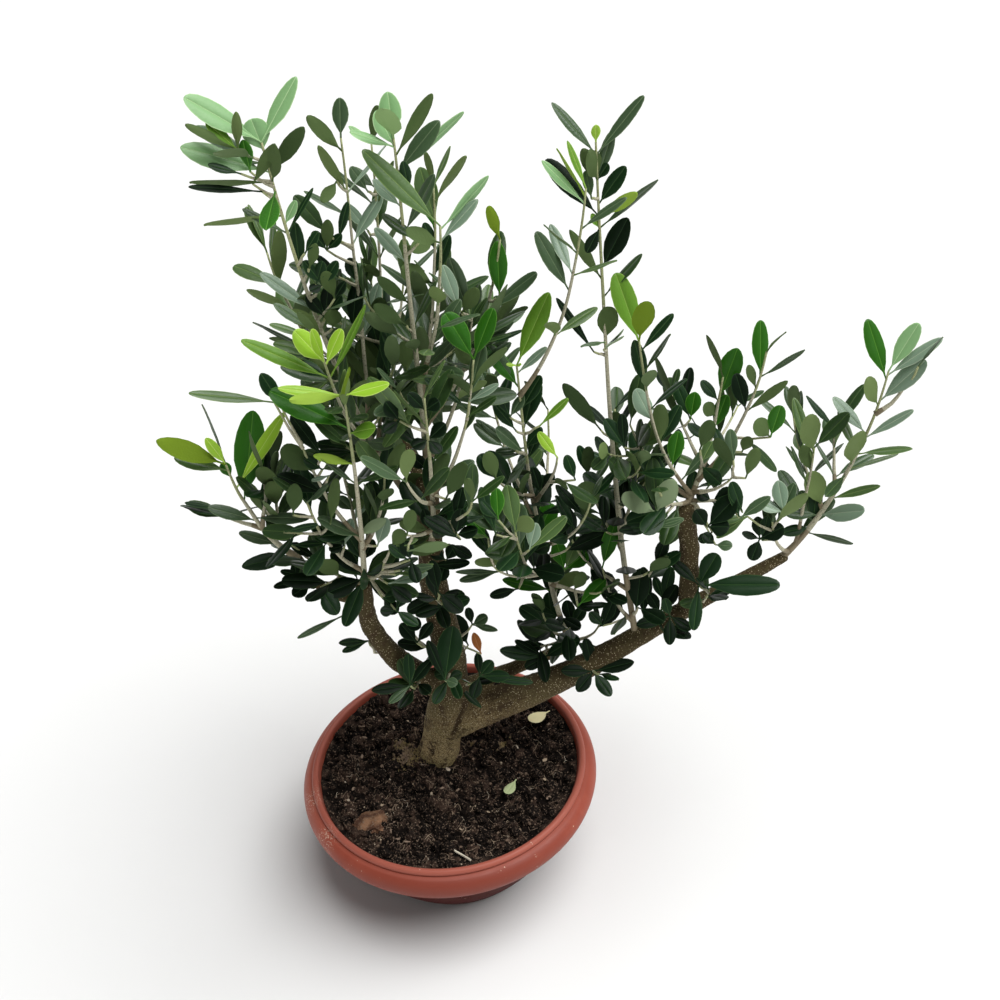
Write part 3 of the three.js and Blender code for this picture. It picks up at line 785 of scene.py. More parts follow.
massPlan = {
    "foliage_upper_left": {
        "on": "trunk", "at": 0.88, "stem": (-65, 0, 700), "seed": 11,
        "shoots": [(0.3, -15, 30, 698), (0.25, 5, 48, 682), (0.25, -48, -55, 585), (0.4, -80, 45, 610)]},
    "foliage_upper_middle": {
        "on": "trunk", "at": 0.98, "stem": (19, -10, 702), "seed": 23,
        "shoots": [(0.35, 42, -30, 645), (0.08, 66, 0, 604), (0.2, 88, 22, 616), (0.3, 45, 55, 640)]},
    "foliage_front": {
        "on": "trunk", "at": 0.8, "stem": (17, -62, 535), "seed": 37,
        "shoots": [(0.45, -6, -90, 505), (0.3, 42, -72, 450), (0.25, -18, -80, 449), (0.5, 50, -35, 515)]},
    "foliage_left": {
        "on": "left_bough", "at": 0.97, "stem": (-37, -60, 543), "seed": 41,
        "shoots": [(0.3, -18, -35, 462), (0.35, -76, -30, 505), (0.15, -78, -42, 449), (0.1, -27, -58, 400),
                   (0.05, -82, -12, 372), (0.25, -55, 50, 470)]},
    "foliage_left_outer": {
        "on": "left_outer_branch", "at": 0.96, "stem": (-137, 0, 467), "seed": 53,
        "shoots": [(0.1, -150, 22, 360), (0.4, -158, 20, 414), (0.3, -104, 8, 440), (0.4, -108, 0, 488),
                   (0.3, -120, 80, 430)]},
    "foliage_centre": {
        "on": "back_bough", "at": 0.97, "stem": (90, 0, 517), "seed": 67,
        "shoots": [(0.92, 142, -18, 652), (0.35, 74, -50, 403), (0.62, 55, -35, 470), (0.6, 117, -14, 455),
                   (0.45, 138, -30, 407), (0.3, 147, -22, 305), (0.35, 54, -30, 362), (0.45, 128, 100, 430),
                   (0.5, 75, 85, 470), (0.04, 77, 2, 240), (0.06, 100, 12, 262), (0.03, 152, 12, 240)]},
    "foliage_tall_middle": {
        "on": "right_bough", "at": 0.57, "stem": (156, 14, 672), "seed": 71,
        "shoots": [(0.22, 149, 34, 386), (0.25, 192, 34, 390), (0.12, 130, 22, 332), (0.28, 185, 90, 415),
                   (0.04, 150, -8, 325), (0.06, 178, -34, 308), (0.1, 212, 16, 322)]},
    "foliage_right": {
        "on": "right_upright", "at": 0.97, "stem": (259, 22, 486), "seed": 83,
        "shoots": [(0.1, 181, -10, 530), (0.2, 284, 0, 502), (0.05, 184, -50, 432), (0.3, 224, -32, 450),
                   (0.08, 172, 8, 474), (0.12, 254, -32, 416), (0.06, 268, -20, 380), (0.3, 236, 92, 420),
                   (0.3, 290, 72, 412)]},
    "foliage_right_end": {
        "on": "right_bough", "at": 0.985, "stem": (386, 0, 470), "seed": 97,
        "shoots": [(0.1, 336, 10, 418), (0.4, 366, 42, 412), (0.05, 292, -22, 354), (0.3, 345, 80, 388),
                   (0.8, 406, -8, 476)]},
    "foliage_rear": {
        "on": "rear_bough", "at": 0.97, "stem": (-10, 110, 560), "seed": 101,
        "shoots": [(0.3, 50, 128, 540), (0.3, -70, 108, 520), (0.2, 20, 150, 470), (0.25, 92, 112, 500),
                   (0.1, -55, 120, 440), (0.45, 18, 140, 545), (0.25, -32, 150, 500), (0.12, 58, 130, 450)]},
}
tuftPlan = {
    "tuft_trunk_front": ("trunk", 0.42, 6, -42, 250),
    "tuft_trunk_left": ("left_bough", 0.22, -24, -36, 244),
    "tuft_fork": ("trunk", 0.34, 38, -18, 228),
    "tuft_trunk_upper_left": ("trunk", 0.5, -14, -20, 278),
    "tuft_trunk_upper_right": ("trunk", 0.5, 40, -4, 283),
    "tuft_trunk_high": ("trunk", 0.66, 10, -38, 346),
    "tuft_left_bough": ("left_bough", 0.5, -76, -18, 286),
    "tuft_bough_inner": ("right_bough", 0.42, 141, -36, 224),
    "tuft_bough_middle": ("right_bough", 0.64, 208, -32, 262),
    "tuft_bough_outer": ("right_bough", 0.76, 238, -30, 298),
}
# young growth: mass and shoot number (0 is the stem), with its tone, how many pairs have it, and leaf size
youngShoots = {
    ("foliage_upper_left", 4): ("sage", 2, 1.1), ("foliage_upper_middle", 2): ("sage", 2, 1.1),
    ("foliage_upper_middle", 3): ("green", 3, 1.2), ("foliage_upper_middle", 4): ("sage", 2, 1.1),
    ("foliage_left", 2): ("fresh", 1, 1.1), ("foliage_centre", 0): ("green", 2, 1.1),
    ("foliage_right", 5): ("sage", 1, 1.0), ("foliage_right_end", 5): ("grey", 2, 1.0),
}
# single leaves that stand out, by mass and shoot number: share of the shoot, tip x, y, z, width, tone,
# and what shows from the front where it isn't the face: -1 the back, 0 an edge
markedLeaves = {
    "foliage_upper_left": {
        0: [(1, -106, -5, 735, 16, "mint"), (1, -37, 15, 735, 11, "mint"),
            (0.94, -116, -2, 705, 16, "mint"), (0.92, -54, -21, 704, 11, "mid", -1),
            (0.94, -35, 0, 707, 10, "dark", -1), (0.92, -116, 0, 679, 12, "mid", 0),
            (0.9, -67, -60, 664, 11, "green"), (0.85, -113, 1, 650, 11, "sage", 0),
            (0.96, -103, 6, 688, 7, "grey"), (0.07, 6, 8, 429, 20, "mid", -1),
            (0.72, -54, 9, 643, 9, "dark"), (0.63, -83, 6, 612, 9, "silver"),
            (0.83, -50, 3, 659, 7, "mint"), (0.81, -38, 7, 666, 4, "dark"), (0.81, -86, 1, 658, 6, "grey"),
            (0.98, -69, 2, 715, 16, "mint")],
        1: [(0.96, -12, 36, 714, 10, "grey"), (0.92, -36, 29, 706, 9, "mid", -1),
            (0.51, -22, 26, 606, 9, "dark")],
        2: [(0.26, -25, 26, 541, 14, "dark", -1), (0.98, -9, 48, 691, 6, "mint"),
            (0.85, -12, 47, 663, 9, "grey"), (0.26, -24, 26, 541, 14, "mid", -1),
            (0.29, -13, 36, 555, 11, "dark"), (0.98, 13, 46, 704, 8, "mid", -1)],
        3: [(0.86, -63, -47, 589, 14, "lime"), (0.84, -32, -46, 586, 9, "lime"),
            (0.86, -50, -68, 598, 9, "lime"), (0.76, -99, -43, 585, 10, "fresh"),
            (0.76, -12, -27, 592, 12, "fresh", 0), (0.76, -70, -33, 562, 10, "dark")],
        20: [(1, -52, 25, 656, 11, "mid")], 21: [(1, -72, -54, 613, 7, "grey")],
        22: [(1, -12, 42, 665, 9, "grey")], 23: [(1, -19, 41, 640, 8, "silver")],
        24: [(1, -19, 24, 589, 11, "deep")], 60: [(1, -100, -11, 693, 6, "dark")],
        61: [(1, -56, -6, 700, 8, "mid", -1)],
        80: [(1, -109, -15, 720, 6, "mid", -1), (1, -96, -7, 718, 8, "fresh"),
             (1, -76, -9, 723, 6, "sage", -1)],
        81: [(1, -115, -12, 681, 6, "deep")], 82: [(1, -76, -3, 704, 8, "green")],
        83: [(1, -44, 21, 630, 8, "dark"), (1, -24, 20, 626, 8, "dark"), (1, -32, 19, 638, 8, "mid", -1)],
        84: [(1, -52, 0, 618, 8, "dark"), (1, -29, 0, 615, 9, "dark"), (1, -51, -8, 599, 8, "deep")],
        85: [(1, -54, 1, 593, 9, "deep"), (1, -30, 1, 589, 9, "dark"), (1, -38, 4, 597, 9, "deep")],
        86: [(1, -34, 11, 652, 8, "mid", -1)], 87: [(1, -17, 25, 647, 6, "dark")],
        100: [(1, -39, -1, 638, 7, "dark")], 101: [(1, -41, -4, 631, 7, "mid", -1)],
        102: [(1, -39, 0, 616, 8, "dark")], 103: [(1, -44, 20, 613, 6, "deep")],
        104: [(1, -39, -3, 610, 9, "mid", -1), (1, -26, -1, 600, 7, "deep")],
        105: [(1, -37, -5, 582, 11, "mid", -1)],
    },
    "foliage_upper_middle": {
        0: [(0.98, 19, 0, 723, 13, "mint"), (0.98, 15, -33, 722, 15, "mint"),
            (0.94, 47, -8, 721, 8, "mid", -1), (0.9, 50, -2, 703, 13, "grey"),
            (0.9, 67, 6, 704, 8, "mint", 0), (0.96, -8, -17, 706, 8, "mint"),
            (0.68, -1, -2, 636, 9, "silver"), (0.82, 2, -6, 670, 9, "silver"),
            (0.57, -4, -7, 603, 8, "dark", -1), (0.96, 10, -7, 714, 12, "mint")],
        1: [(0.98, -2, -19, 694, 13, "sage"), (0.96, 79, -20, 668, 10, "mint", 0),
            (0.9, 69, -24, 655, 7, "grey"), (0.89, 18, -32, 643, 10, "mid", -1),
            (0.9, 68, -26, 656, 8, "silver")],
        2: [(0.2, 14, 12, 497, 15, "grey"), (0.2, 14, 11, 497, 10, "grey")],
        3: [(0.95, 80, 23, 633, 8, "fresh", -1)],
        4: [(0.84, 37, 60, 654, 15, "sage"), (0.55, 13, 37, 589, 14, "mid", -1),
            (0.58, 53, 47, 606, 9, "dark"), (0.77, 23, 38, 600, 11, "mid", -1),
            (0.79, 37, 61, 653, 13, "green"), (0.71, 35, 51, 616, 8, "dark")],
        20: [(1, 43, 7, 600, 10, "silver")], 21: [(1, 66, -5, 585, 10, "mid", -1)],
        22: [(1, 85, 24, 607, 12, "green")], 23: [(1, 46, -5, 542, 10, "mid", -1)],
        24: [(1, -9, -11, 584, 10, "dark", -1)], 80: [(1, 23, -12, 682, 7, "dark")],
        81: [(1, -13, -12, 454, 10, "deep"), (1, 12, -15, 448, 10, "deep")],
        100: [(1, 9, -7, 552, 10, "mid", -1)], 120: [(1, 5, -9, 648, 8, "mid")],
    },
    "foliage_front": {
        0: [(0.6, 30, -46, 477, 9, "dark", -1), (0.94, 6, -57, 537, 9, "deep"),
            (0.94, 27, -61, 530, 10, "deep"), (0.8, 30, -54, 507, 10, "deep"),
            (0.8, 4, -61, 496, 10, "deep"), (0.8, 24, -65, 490, 9, "deep")],
        2: [(0.46, 38, -41, 443, 9, "deep")],
        3: [(0.57, -2, -57, 440, 9, "mid", -1), (0.06, -14, -30, 410, 9, "mid", -1),
            (0.06, 24, -25, 408, 10, "deep"), (0.06, 7, -21, 414, 9, "deep")],
        4: [(0.64, 54, -30, 505, 6, "mid"), (0.81, 70, -34, 512, 6, "mid"),
            (0.96, 72, -35, 523, 6, "silver")],
        20: [(1, 42, -44, 467, 12, "dark", -1)],
        60: [(1, -10, -24, 377, 10, "mid", -1), (1, 40, -28, 365, 10, "deep")],
        61: [(1, 12, -53, 428, 10, "deep"), (1, 45, -62, 417, 10, "deep"), (1, 35, -52, 431, 11, "deep")],
        63: [(1, 40, -15, 574, 16, "green"), (1, 74, -17, 574, 12, "green")],
        80: [(1, -10, -60, 534, 10, "deep"), (1, -14, -70, 516, 9, "deep")],
        81: [(1, 8, -4, 362, 10, "deep"), (1, 29, -4, 362, 10, "deep"), (1, 13, -21, 340, 10, "deep")],
        100: [(1, 22, -77, 418, 7, "grey", -1)], 101: [(1, 6, -55, 430, 9, "deep")],
        120: [(1, 39, -15, 350, 9, "deep")],
    },
    "foliage_left": {
        0: [(1, -5, -63, 549, 9, "lime"), (1, -32, -82, 573, 16, "fresh"), (1, -79, -66, 558, 7, "lime"),
            (1, -70, -92, 562, 7, "lime", -1), (0.87, -87, -50, 550, 17, "green"),
            (0.85, -19, -65, 518, 12, "fresh"), (0.72, -65, -60, 499, 6, "lime", -1),
            (0.09, -70, -6, 376, 16, "mid"), (0.09, -18, -10, 366, 18, "dark"),
            (0.09, -81, -28, 349, 15, "deep"), (0.09, -68, -45, 327, 13, "dark"),
            (0.09, -22, -33, 337, 11, "deep"), (0.22, -55, -19, 399, 9, "dark"),
            (0.22, -35, -22, 392, 10, "deep"), (0.11, -69, -9, 380, 12, "deep"),
            (0.11, -19, -13, 371, 12, "mid")],
        1: [(0.93, -1, -30, 481, 9, "mid", -1), (0.93, -35, -23, 484, 12, "sage")],
        2: [(0.64, -89, -29, 491, 15, "dark", -1), (0.05, -22, -38, 421, 8, "silver", -1),
            (0.45, -97, -28, 468, 12, "deep"), (0.07, -76, -40, 415, 10, "dark")],
        6: [(0.54, -38, 5, 409, 10, "grey", -1), (0.11, -80, -20, 400, 9, "dark"),
            (0.26, -36, 5, 417, 9, "silver"), (0.33, -59, 7, 417, 9, "grey"),
            (0.33, -40, 1, 416, 9, "mid", -1)],
        20: [(1, -83, -42, 467, 11, "dark", -1)],
        60: [(1, 4, -54, 377, 8, "silver"), (1, -12, -67, 361, 11, "deep")],
        61: [(1, 8, -64, 390, 6, "grey")], 62: [(1, -23, -59, 412, 8, "dark")],
        63: [(1, -72, -41, 337, 13, "dark")], 64: [(1, -72, -38, 464, 4, "silver")],
        65: [(1, -54, -29, 459, 8, "mid", -1)], 66: [(1, -79, -21, 512, 11, "deep")],
        80: [(1, -144, -31, 545, 8, "sage")], 81: [(1, -94, -19, 547, 10, "dark")],
        82: [(1, -24, -64, 349, 10, "deep"), (1, -22, -55, 360, 10, "dark")],
        83: [(1, -80, -29, 417, 9, "dark"), (1, -49, -25, 417, 8, "silver"), (1, -69, -39, 400, 8, "deep")],
        84: [(1, -11, -58, 413, 10, "deep"), (1, -5, -78, 387, 9, "deep")],
        85: [(1, -108, -41, 319, 5, "grey")],
        86: [(1, -75, -32, 481, 9, "dark"), (1, -51, -34, 475, 8, "grey")],
        100: [(1, 3, -61, 385, 6, "sage"), (1, 9, -59, 388, 4, "sage")],
        101: [(1, -22, -32, 418, 10, "silver")],
        102: [(1, -10, -57, 422, 10, "mid", -1), (1, 0, -58, 413, 5, "sage")],
        120: [(1, -72, -50, 433, 6, "dark")], 121: [(1, -75, -11, 387, 6, "dark")],
        140: [(1, -37, -66, 355, 8, "deep"), (1, -9, -75, 343, 8, "dark"), (1, -14, -57, 365, 8, "dark")],
    },
    "foliage_left_outer": {
        0: [(0.98, -184, 4, 491, 14, "fresh", -1), (0.98, -145, 22, 508, 11, "mid", 0),
            (0.93, -175, 9, 471, 10, "sage"), (0.66, -112, 33, 490, 23, "green"),
            (0.78, -88, 24, 491, 11, "lime"), (0.98, -147, 3, 488, 8, "lime"),
            (0.47, -160, 8, 424, 10, "grey"), (0.5, -81, -17, 417, 10, "grey"),
            (0.05, -146, 8, 361, 14, "dark"), (0.05, -103, -3, 336, 9, "deep"),
            (0.2, -143, 15, 390, 9, "grey"), (0.87, -140, 5, 464, 8, "green")],
        60: [(1, -123, -2, 343, 7, "deep"), (1, -116, 7, 352, 6, "deep")],
        61: [(1, -109, -6, 335, 11, "deep")],
    },
    "foliage_centre": {
        0: [(1, 119, 13, 567, 15, "fresh"), (0.15, 84, 38, 251, 12, "dark"),
            (0.15, 135, 16, 233, 11, "deep"), (0.94, 70, 16, 530, 11, "grey"),
            (0.27, 137, 20, 295, 11, "sage", -1), (0.27, 68, 32, 291, 11, "green"),
            (0.77, 107, 7, 456, 10, "dark"), (0.77, 69, 3, 442, 6, "grey"),
            (0.94, 71, 16, 530, 12, "green"), (0.98, 114, 2, 528, 6, "silver"),
            (0.88, 109, 8, 502, 10, "dark"), (0.73, 108, 13, 453, 8, "dark"), (1, 82, -1, 520, 3, "lime"),
            (1, 93, -3, 519, 3, "lime"), (0.63, 101, 16, 415, 10, "dark")],
        1: [(0.94, 114, -9, 671, 7, "mint"), (0.97, 126, -6, 678, 8, "lime", 0),
            (1, 133, -4, 681, 5, "fresh"), (0.56, 110, 3, 618, 11, "grey")],
        2: [(0.97, 73, -30, 432, 13, "sage"), (0.98, 88, -53, 413, 13, "sage", -1)],
        3: [(0.6, 55, -14, 453, 12, "dark"), (0.6, 60, -17, 457, 11, "mid", -1)],
        4: [(0.79, 103, -2, 458, 8, "lime"), (0.18, 115, 7, 412, 8, "deep"),
            (0.18, 99, 12, 417, 9, "deep"), (0.28, 113, 2, 415, 9, "deep")],
        5: [(0.8, 138, -17, 416, 18, "dark", -1), (0.77, 114, -8, 411, 9, "deep")],
        6: [(0.44, 137, 2, 309, 10, "mid", -1)],
        7: [(0.77, 26, -22, 348, 5, "grey"), (0.77, 28, -26, 342, 7, "grey")],
        9: [(0, 115, 20, 373, 15, "green"), (0.34, 113, 53, 407, 10, "sage"),
            (0.53, 59, 73, 428, 11, "grey"), (0.33, 114, 53, 407, 10, "grey")],
        20: [(1, 52, -34, 436, 10, "dark")], 21: [(1, 128, -1, 484, 6, "fresh")],
        22: [(1, 74, 19, 228, 7, "deep"), (1, 59, 15, 222, 12, "dark"), (1, 79, 1, 209, 10, "deep"),
             (1, 118, 9, 223, 10, "dark")],
        40: [(1, 123, -10, 439, 9, "dark")], 60: [(1, 42, -28, 360, 7, "sage", -1)],
        61: [(1, 52, -21, 317, 8, "deep")],
        62: [(1, 37, -11, 401, 11, "green"), (1, 40, -19, 390, 10, "sage")],
        63: [(1, 93, -35, 396, 10, "silver"), (1, 117, -37, 400, 10, "sage")],
        64: [(1, 139, 28, 329, 12, "sage"), (1, 118, 29, 326, 13, "green"), (1, 144, 19, 318, 14, "green")],
        65: [(1, 153, -10, 308, 12, "green")], 66: [(1, 61, 12, 465, 6, "grey")],
        80: [(1, 76, 7, 494, 8, "dark"), (1, 94, 2, 490, 8, "grey")],
        81: [(1, 127, 42, 247, 11, "deep"), (1, 143, 35, 243, 10, "dark")],
        82: [(1, 51, -40, 428, 10, "dark"), (1, 64, -36, 435, 10, "green")],
        100: [(1, 71, 9, 483, 9, "dark")], 101: [(1, 57, 14, 468, 6, "grey")],
    },
    "foliage_tall_middle": {
        0: [(0.98, 190, 15, 699, 8, "grey"), (0.98, 129, 28, 698, 8, "grey"), (1, 156, 13, 684, 6, "lime"),
            (0.94, 146, -6, 673, 13, "mid", -1), (0.9, 177, 14, 653, 11, "dark"),
            (0.79, 179, 16, 615, 15, "deep"), (0.88, 184, 6, 636, 8, "lime", -1),
            (0.86, 201, 17, 640, 11, "mid", 0), (0.88, 124, 31, 660, 13, "deep"),
            (0.77, 136, 21, 610, 8, "mid", -1), (0.66, 163, 9, 552, 14, "mid", -1),
            (0.94, 169, 17, 678, 8, "grey"), (0.94, 164, 12, 657, 7, "dark"),
            (0.94, 146, 14, 669, 9, "mid", -1), (0.86, 146, 5, 597, 8, "deep"),
            (0.86, 152, 14, 622, 6, "fresh"), (0.94, 152, 13, 667, 12, "mid", -1)],
        5: [(0.93, 166, 10, 352, 12, "green")], 6: [(0.29, 187, 1, 306, 17, "deep")],
        20: [(1, 128, 21, 485, 11, "deep", -1)],
        80: [(1, 160, -8, 282, 10, "deep"), (1, 138, -10, 274, 9, "dark")],
        120: [(1, 148, 12, 654, 7, "mid")], 140: [(1, 126, 25, 556, 6, "deep")],
    },
    "foliage_right": {
        0: [(0.75, 270, 26, 494, 16, "green"), (0.54, 262, 22, 455, 11, "green"),
            (0.63, 241, 17, 452, 11, "mid", -1), (0.73, 242, 28, 468, 9, "dark"),
            (0.47, 230, 21, 433, 9, "dark")],
        1: [(0.98, 169, 12, 577, 16, "fresh"), (1, 182, -24, 569, 15, "fresh", -1),
            (0.94, 208, -5, 546, 7, "dark"), (0.23, 218, 6, 437, 12, "green"),
            (0.54, 182, 5, 481, 14, "silver"), (0.4, 201, 2, 467, 12, "mid", -1),
            (0.4, 217, 1, 464, 10, "dark"), (0.2, 219, 9, 437, 10, "dark"),
            (0.12, 249, 2, 425, 9, "grey")],
        2: [(0.82, 284, 17, 521, 12, "green"), (0.82, 316, 0, 498, 9, "mid", 0),
            (0.74, 271, 5, 490, 7, "mid", -1), (0.57, 266, 15, 478, 12, "deep"),
            (0.57, 302, -3, 475, 7, "mid", -1)],
        4: [(0.82, 234, -26, 463, 11, "dark", -1), (0.53, 239, -16, 437, 9, "sage")],
        5: [(0.57, 203, 7, 453, 10, "mid", -1), (0.57, 204, 5, 441, 11, "sage")],
        7: [(0.4, 231, -6, 383, 10, "deep"), (0.4, 261, -15, 385, 12, "deep"),
            (0.4, 253, -25, 368, 10, "deep"), (0.02, 213, 4, 387, 8, "dark"),
            (0.02, 232, 5, 397, 10, "dark")],
        20: [(1, 161, -37, 412, 14, "silver", -1), (1, 202, -39, 423, 15, "silver", -1),
             (1, 189, -23, 434, 13, "mid")],
        40: [(1, 257, -15, 395, 10, "dark")],
        41: [(1, 157, -43, 383, 9, "deep"), (1, 208, -50, 391, 7, "grey")],
        42: [(1, 268, -37, 440, 10, "mid", -1)],
        43: [(1, 140, -26, 433, 9, "mid"), (1, 146, -26, 451, 12, "sage", -1)],
        60: [(1, 155, -8, 466, 11, "dark"), (1, 168, -9, 469, 8, "deep")],
        61: [(1, 234, 73, 444, 11, "dark"), (1, 249, 65, 436, 12, "green")],
        62: [(1, 295, -10, 458, 12, "green"), (1, 274, -13, 449, 14, "mid", -1)],
        63: [(1, 251, -20, 449, 10, "grey")],
        80: [(1, 259, -22, 384, 17, "deep"), (1, 227, -18, 374, 13, "deep"),
             (1, 251, -34, 364, 15, "deep")],
        81: [(1, 230, -31, 359, 9, "deep"), (1, 251, -44, 352, 9, "grey")],
        82: [(1, 271, -12, 434, 9, "mid", -1)],
        100: [(1, 257, -15, 395, 9, "dark"), (1, 285, -31, 387, 9, "grey")],
        101: [(1, 226, -34, 353, 8, "deep")],
        102: [(1, 158, -43, 384, 9, "dark"), (1, 207, -50, 391, 5, "grey")],
    },
    "foliage_right_end": {
        0: [(0.96, 375, 25, 506, 14, "green"), (1, 409, 7, 506, 13, "mint"),
            (0.98, 426, -2, 496, 9, "silver"), (0.86, 412, -7, 480, 14, "silver"),
            (0.84, 364, -8, 471, 14, "sage", -1), (0.68, 410, -5, 434, 7, "silver"),
            (0.7, 355, 27, 437, 11, "silver"), (0.52, 401, -9, 396, 9, "sage", 0),
            (0.54, 361, -13, 426, 19, "sage", -1), (0.36, 387, -14, 370, 7, "sage"),
            (0.49, 332, -29, 377, 9, "mid"), (0.27, 367, -31, 359, 15, "silver"),
            (0.17, 364, -26, 321, 9, "mid", 0), (0.22, 331, 17, 353, 11, "grey"),
            (0.22, 344, 14, 357, 11, "dark"), (0.27, 315, 9, 337, 9, "grey"),
            (0.2, 311, 3, 321, 10, "dark")],
        1: [(0.79, 323, 3, 439, 18, "sage", -1), (0.72, 328, 43, 432, 9, "sage"),
            (0.84, 363, 11, 430, 12, "mid"), (0.63, 328, 16, 400, 11, "mid", -1)],
        4: [(0.04, 338, 18, 371, 18, "sage", -1)],
        60: [(1, 302, -23, 348, 14, "deep"), (1, 283, -11, 353, 10, "deep"),
             (1, 273, -31, 323, 11, "deep"), (1, 269, -15, 341, 7, "deep")],
        61: [(1, 248, -15, 356, 7, "sage"), (1, 244, -22, 345, 7, "sage")],
        80: [(1, 298, -11, 387, 12, "silver"), (1, 280, -14, 372, 11, "silver")],
        100: [(1, 291, -13, 353, 9, "dark"), (1, 299, -23, 345, 8, "dark")],
    },
    "tuft_bough_inner": {
        0: [(0.45, 120, -35, 206, 11, "deep"), (0.45, 149, -44, 203, 11, "dark"),
            (0.45, 174, -28, 225, 11, "deep"), (0.45, 164, -14, 237, 11, "dark"),
            (0.45, 135, -5, 240, 10, "deep"), (0.45, 109, -20, 220, 10, "deep")],
    },
    "tuft_bough_middle": {
        20: [(1, 175, -29, 268, 10, "deep"), (1, 220, -43, 267, 9, "deep"), (1, 200, -47, 256, 10, "deep"),
             (1, 202, -20, 286, 9, "dark")],
        80: [(1, 194, 3, 275, 10, "deep"), (1, 219, 1, 281, 12, "deep")],
        100: [(1, 217, 12, 293, 10, "dark"), (1, 201, 10, 286, 8, "dark")],
        101: [(1, 193, 18, 293, 14, "deep")],
    },
    "tuft_bough_outer": {
        20: [(1, 247, -20, 327, 15, "dark"), (1, 209, -12, 322, 9, "deep"), (1, 291, -53, 311, 17, "dark"),
             (1, 218, -55, 276, 10, "dark")],
    },
    "tuft_fork": {
        0: [(0.93, 38, -5, 242, 7, "deep"), (0.93, 50, -12, 236, 10, "dark"),
            (0.93, 28, -32, 214, 10, "deep"), (0.93, 63, -23, 225, 10, "dark"),
            (0.93, 83, -31, 221, 7, "dark")],
    },
    "tuft_left_bough": {20: [(1, -79, -12, 282, 7, "dark"), (1, -77, -17, 276, 6, "dark")]},
    "tuft_trunk_front": {
        0: [(1, 19, -15, 286, 19, "dark"), (1, 16, -48, 249, 8, "grey"), (1, -4, -21, 279, 9, "deep")],
        60: [(1, 19, 23, 265, 18, "deep")],
    },
    "tuft_trunk_high": {
        0: [(0.9, 27, -50, 329, 13, "deep"), (0.9, 8, -22, 364, 10, "deep")],
        60: [(1, -11, -37, 322, 10, "deep"), (1, 35, -33, 327, 10, "dark")],
    },
    "tuft_trunk_left": {
        0: [(1, -22, -20, 266, 9, "dark"), (1, -3, -25, 260, 9, "deep"), (1, -57, -39, 248, 9, "deep"),
            (1, -44, -47, 238, 7, "grey")],
    },
    "tuft_trunk_upper_left": {
        0: [(0.95, -25, -10, 292, 11, "deep"), (0.95, 2, -12, 290, 9, "deep")],
        60: [(1, -8, -19, 292, 11, "deep")],
    },
    "tuft_trunk_upper_right": {
        0: [(0.75, 34, 4, 287, 7, "deep"), (0.75, 50, -3, 280, 9, "grey"), (0.75, 57, -12, 270, 6, "grey")],
        60: [(1, 36, -9, 269, 7, "dry")],
    },
}
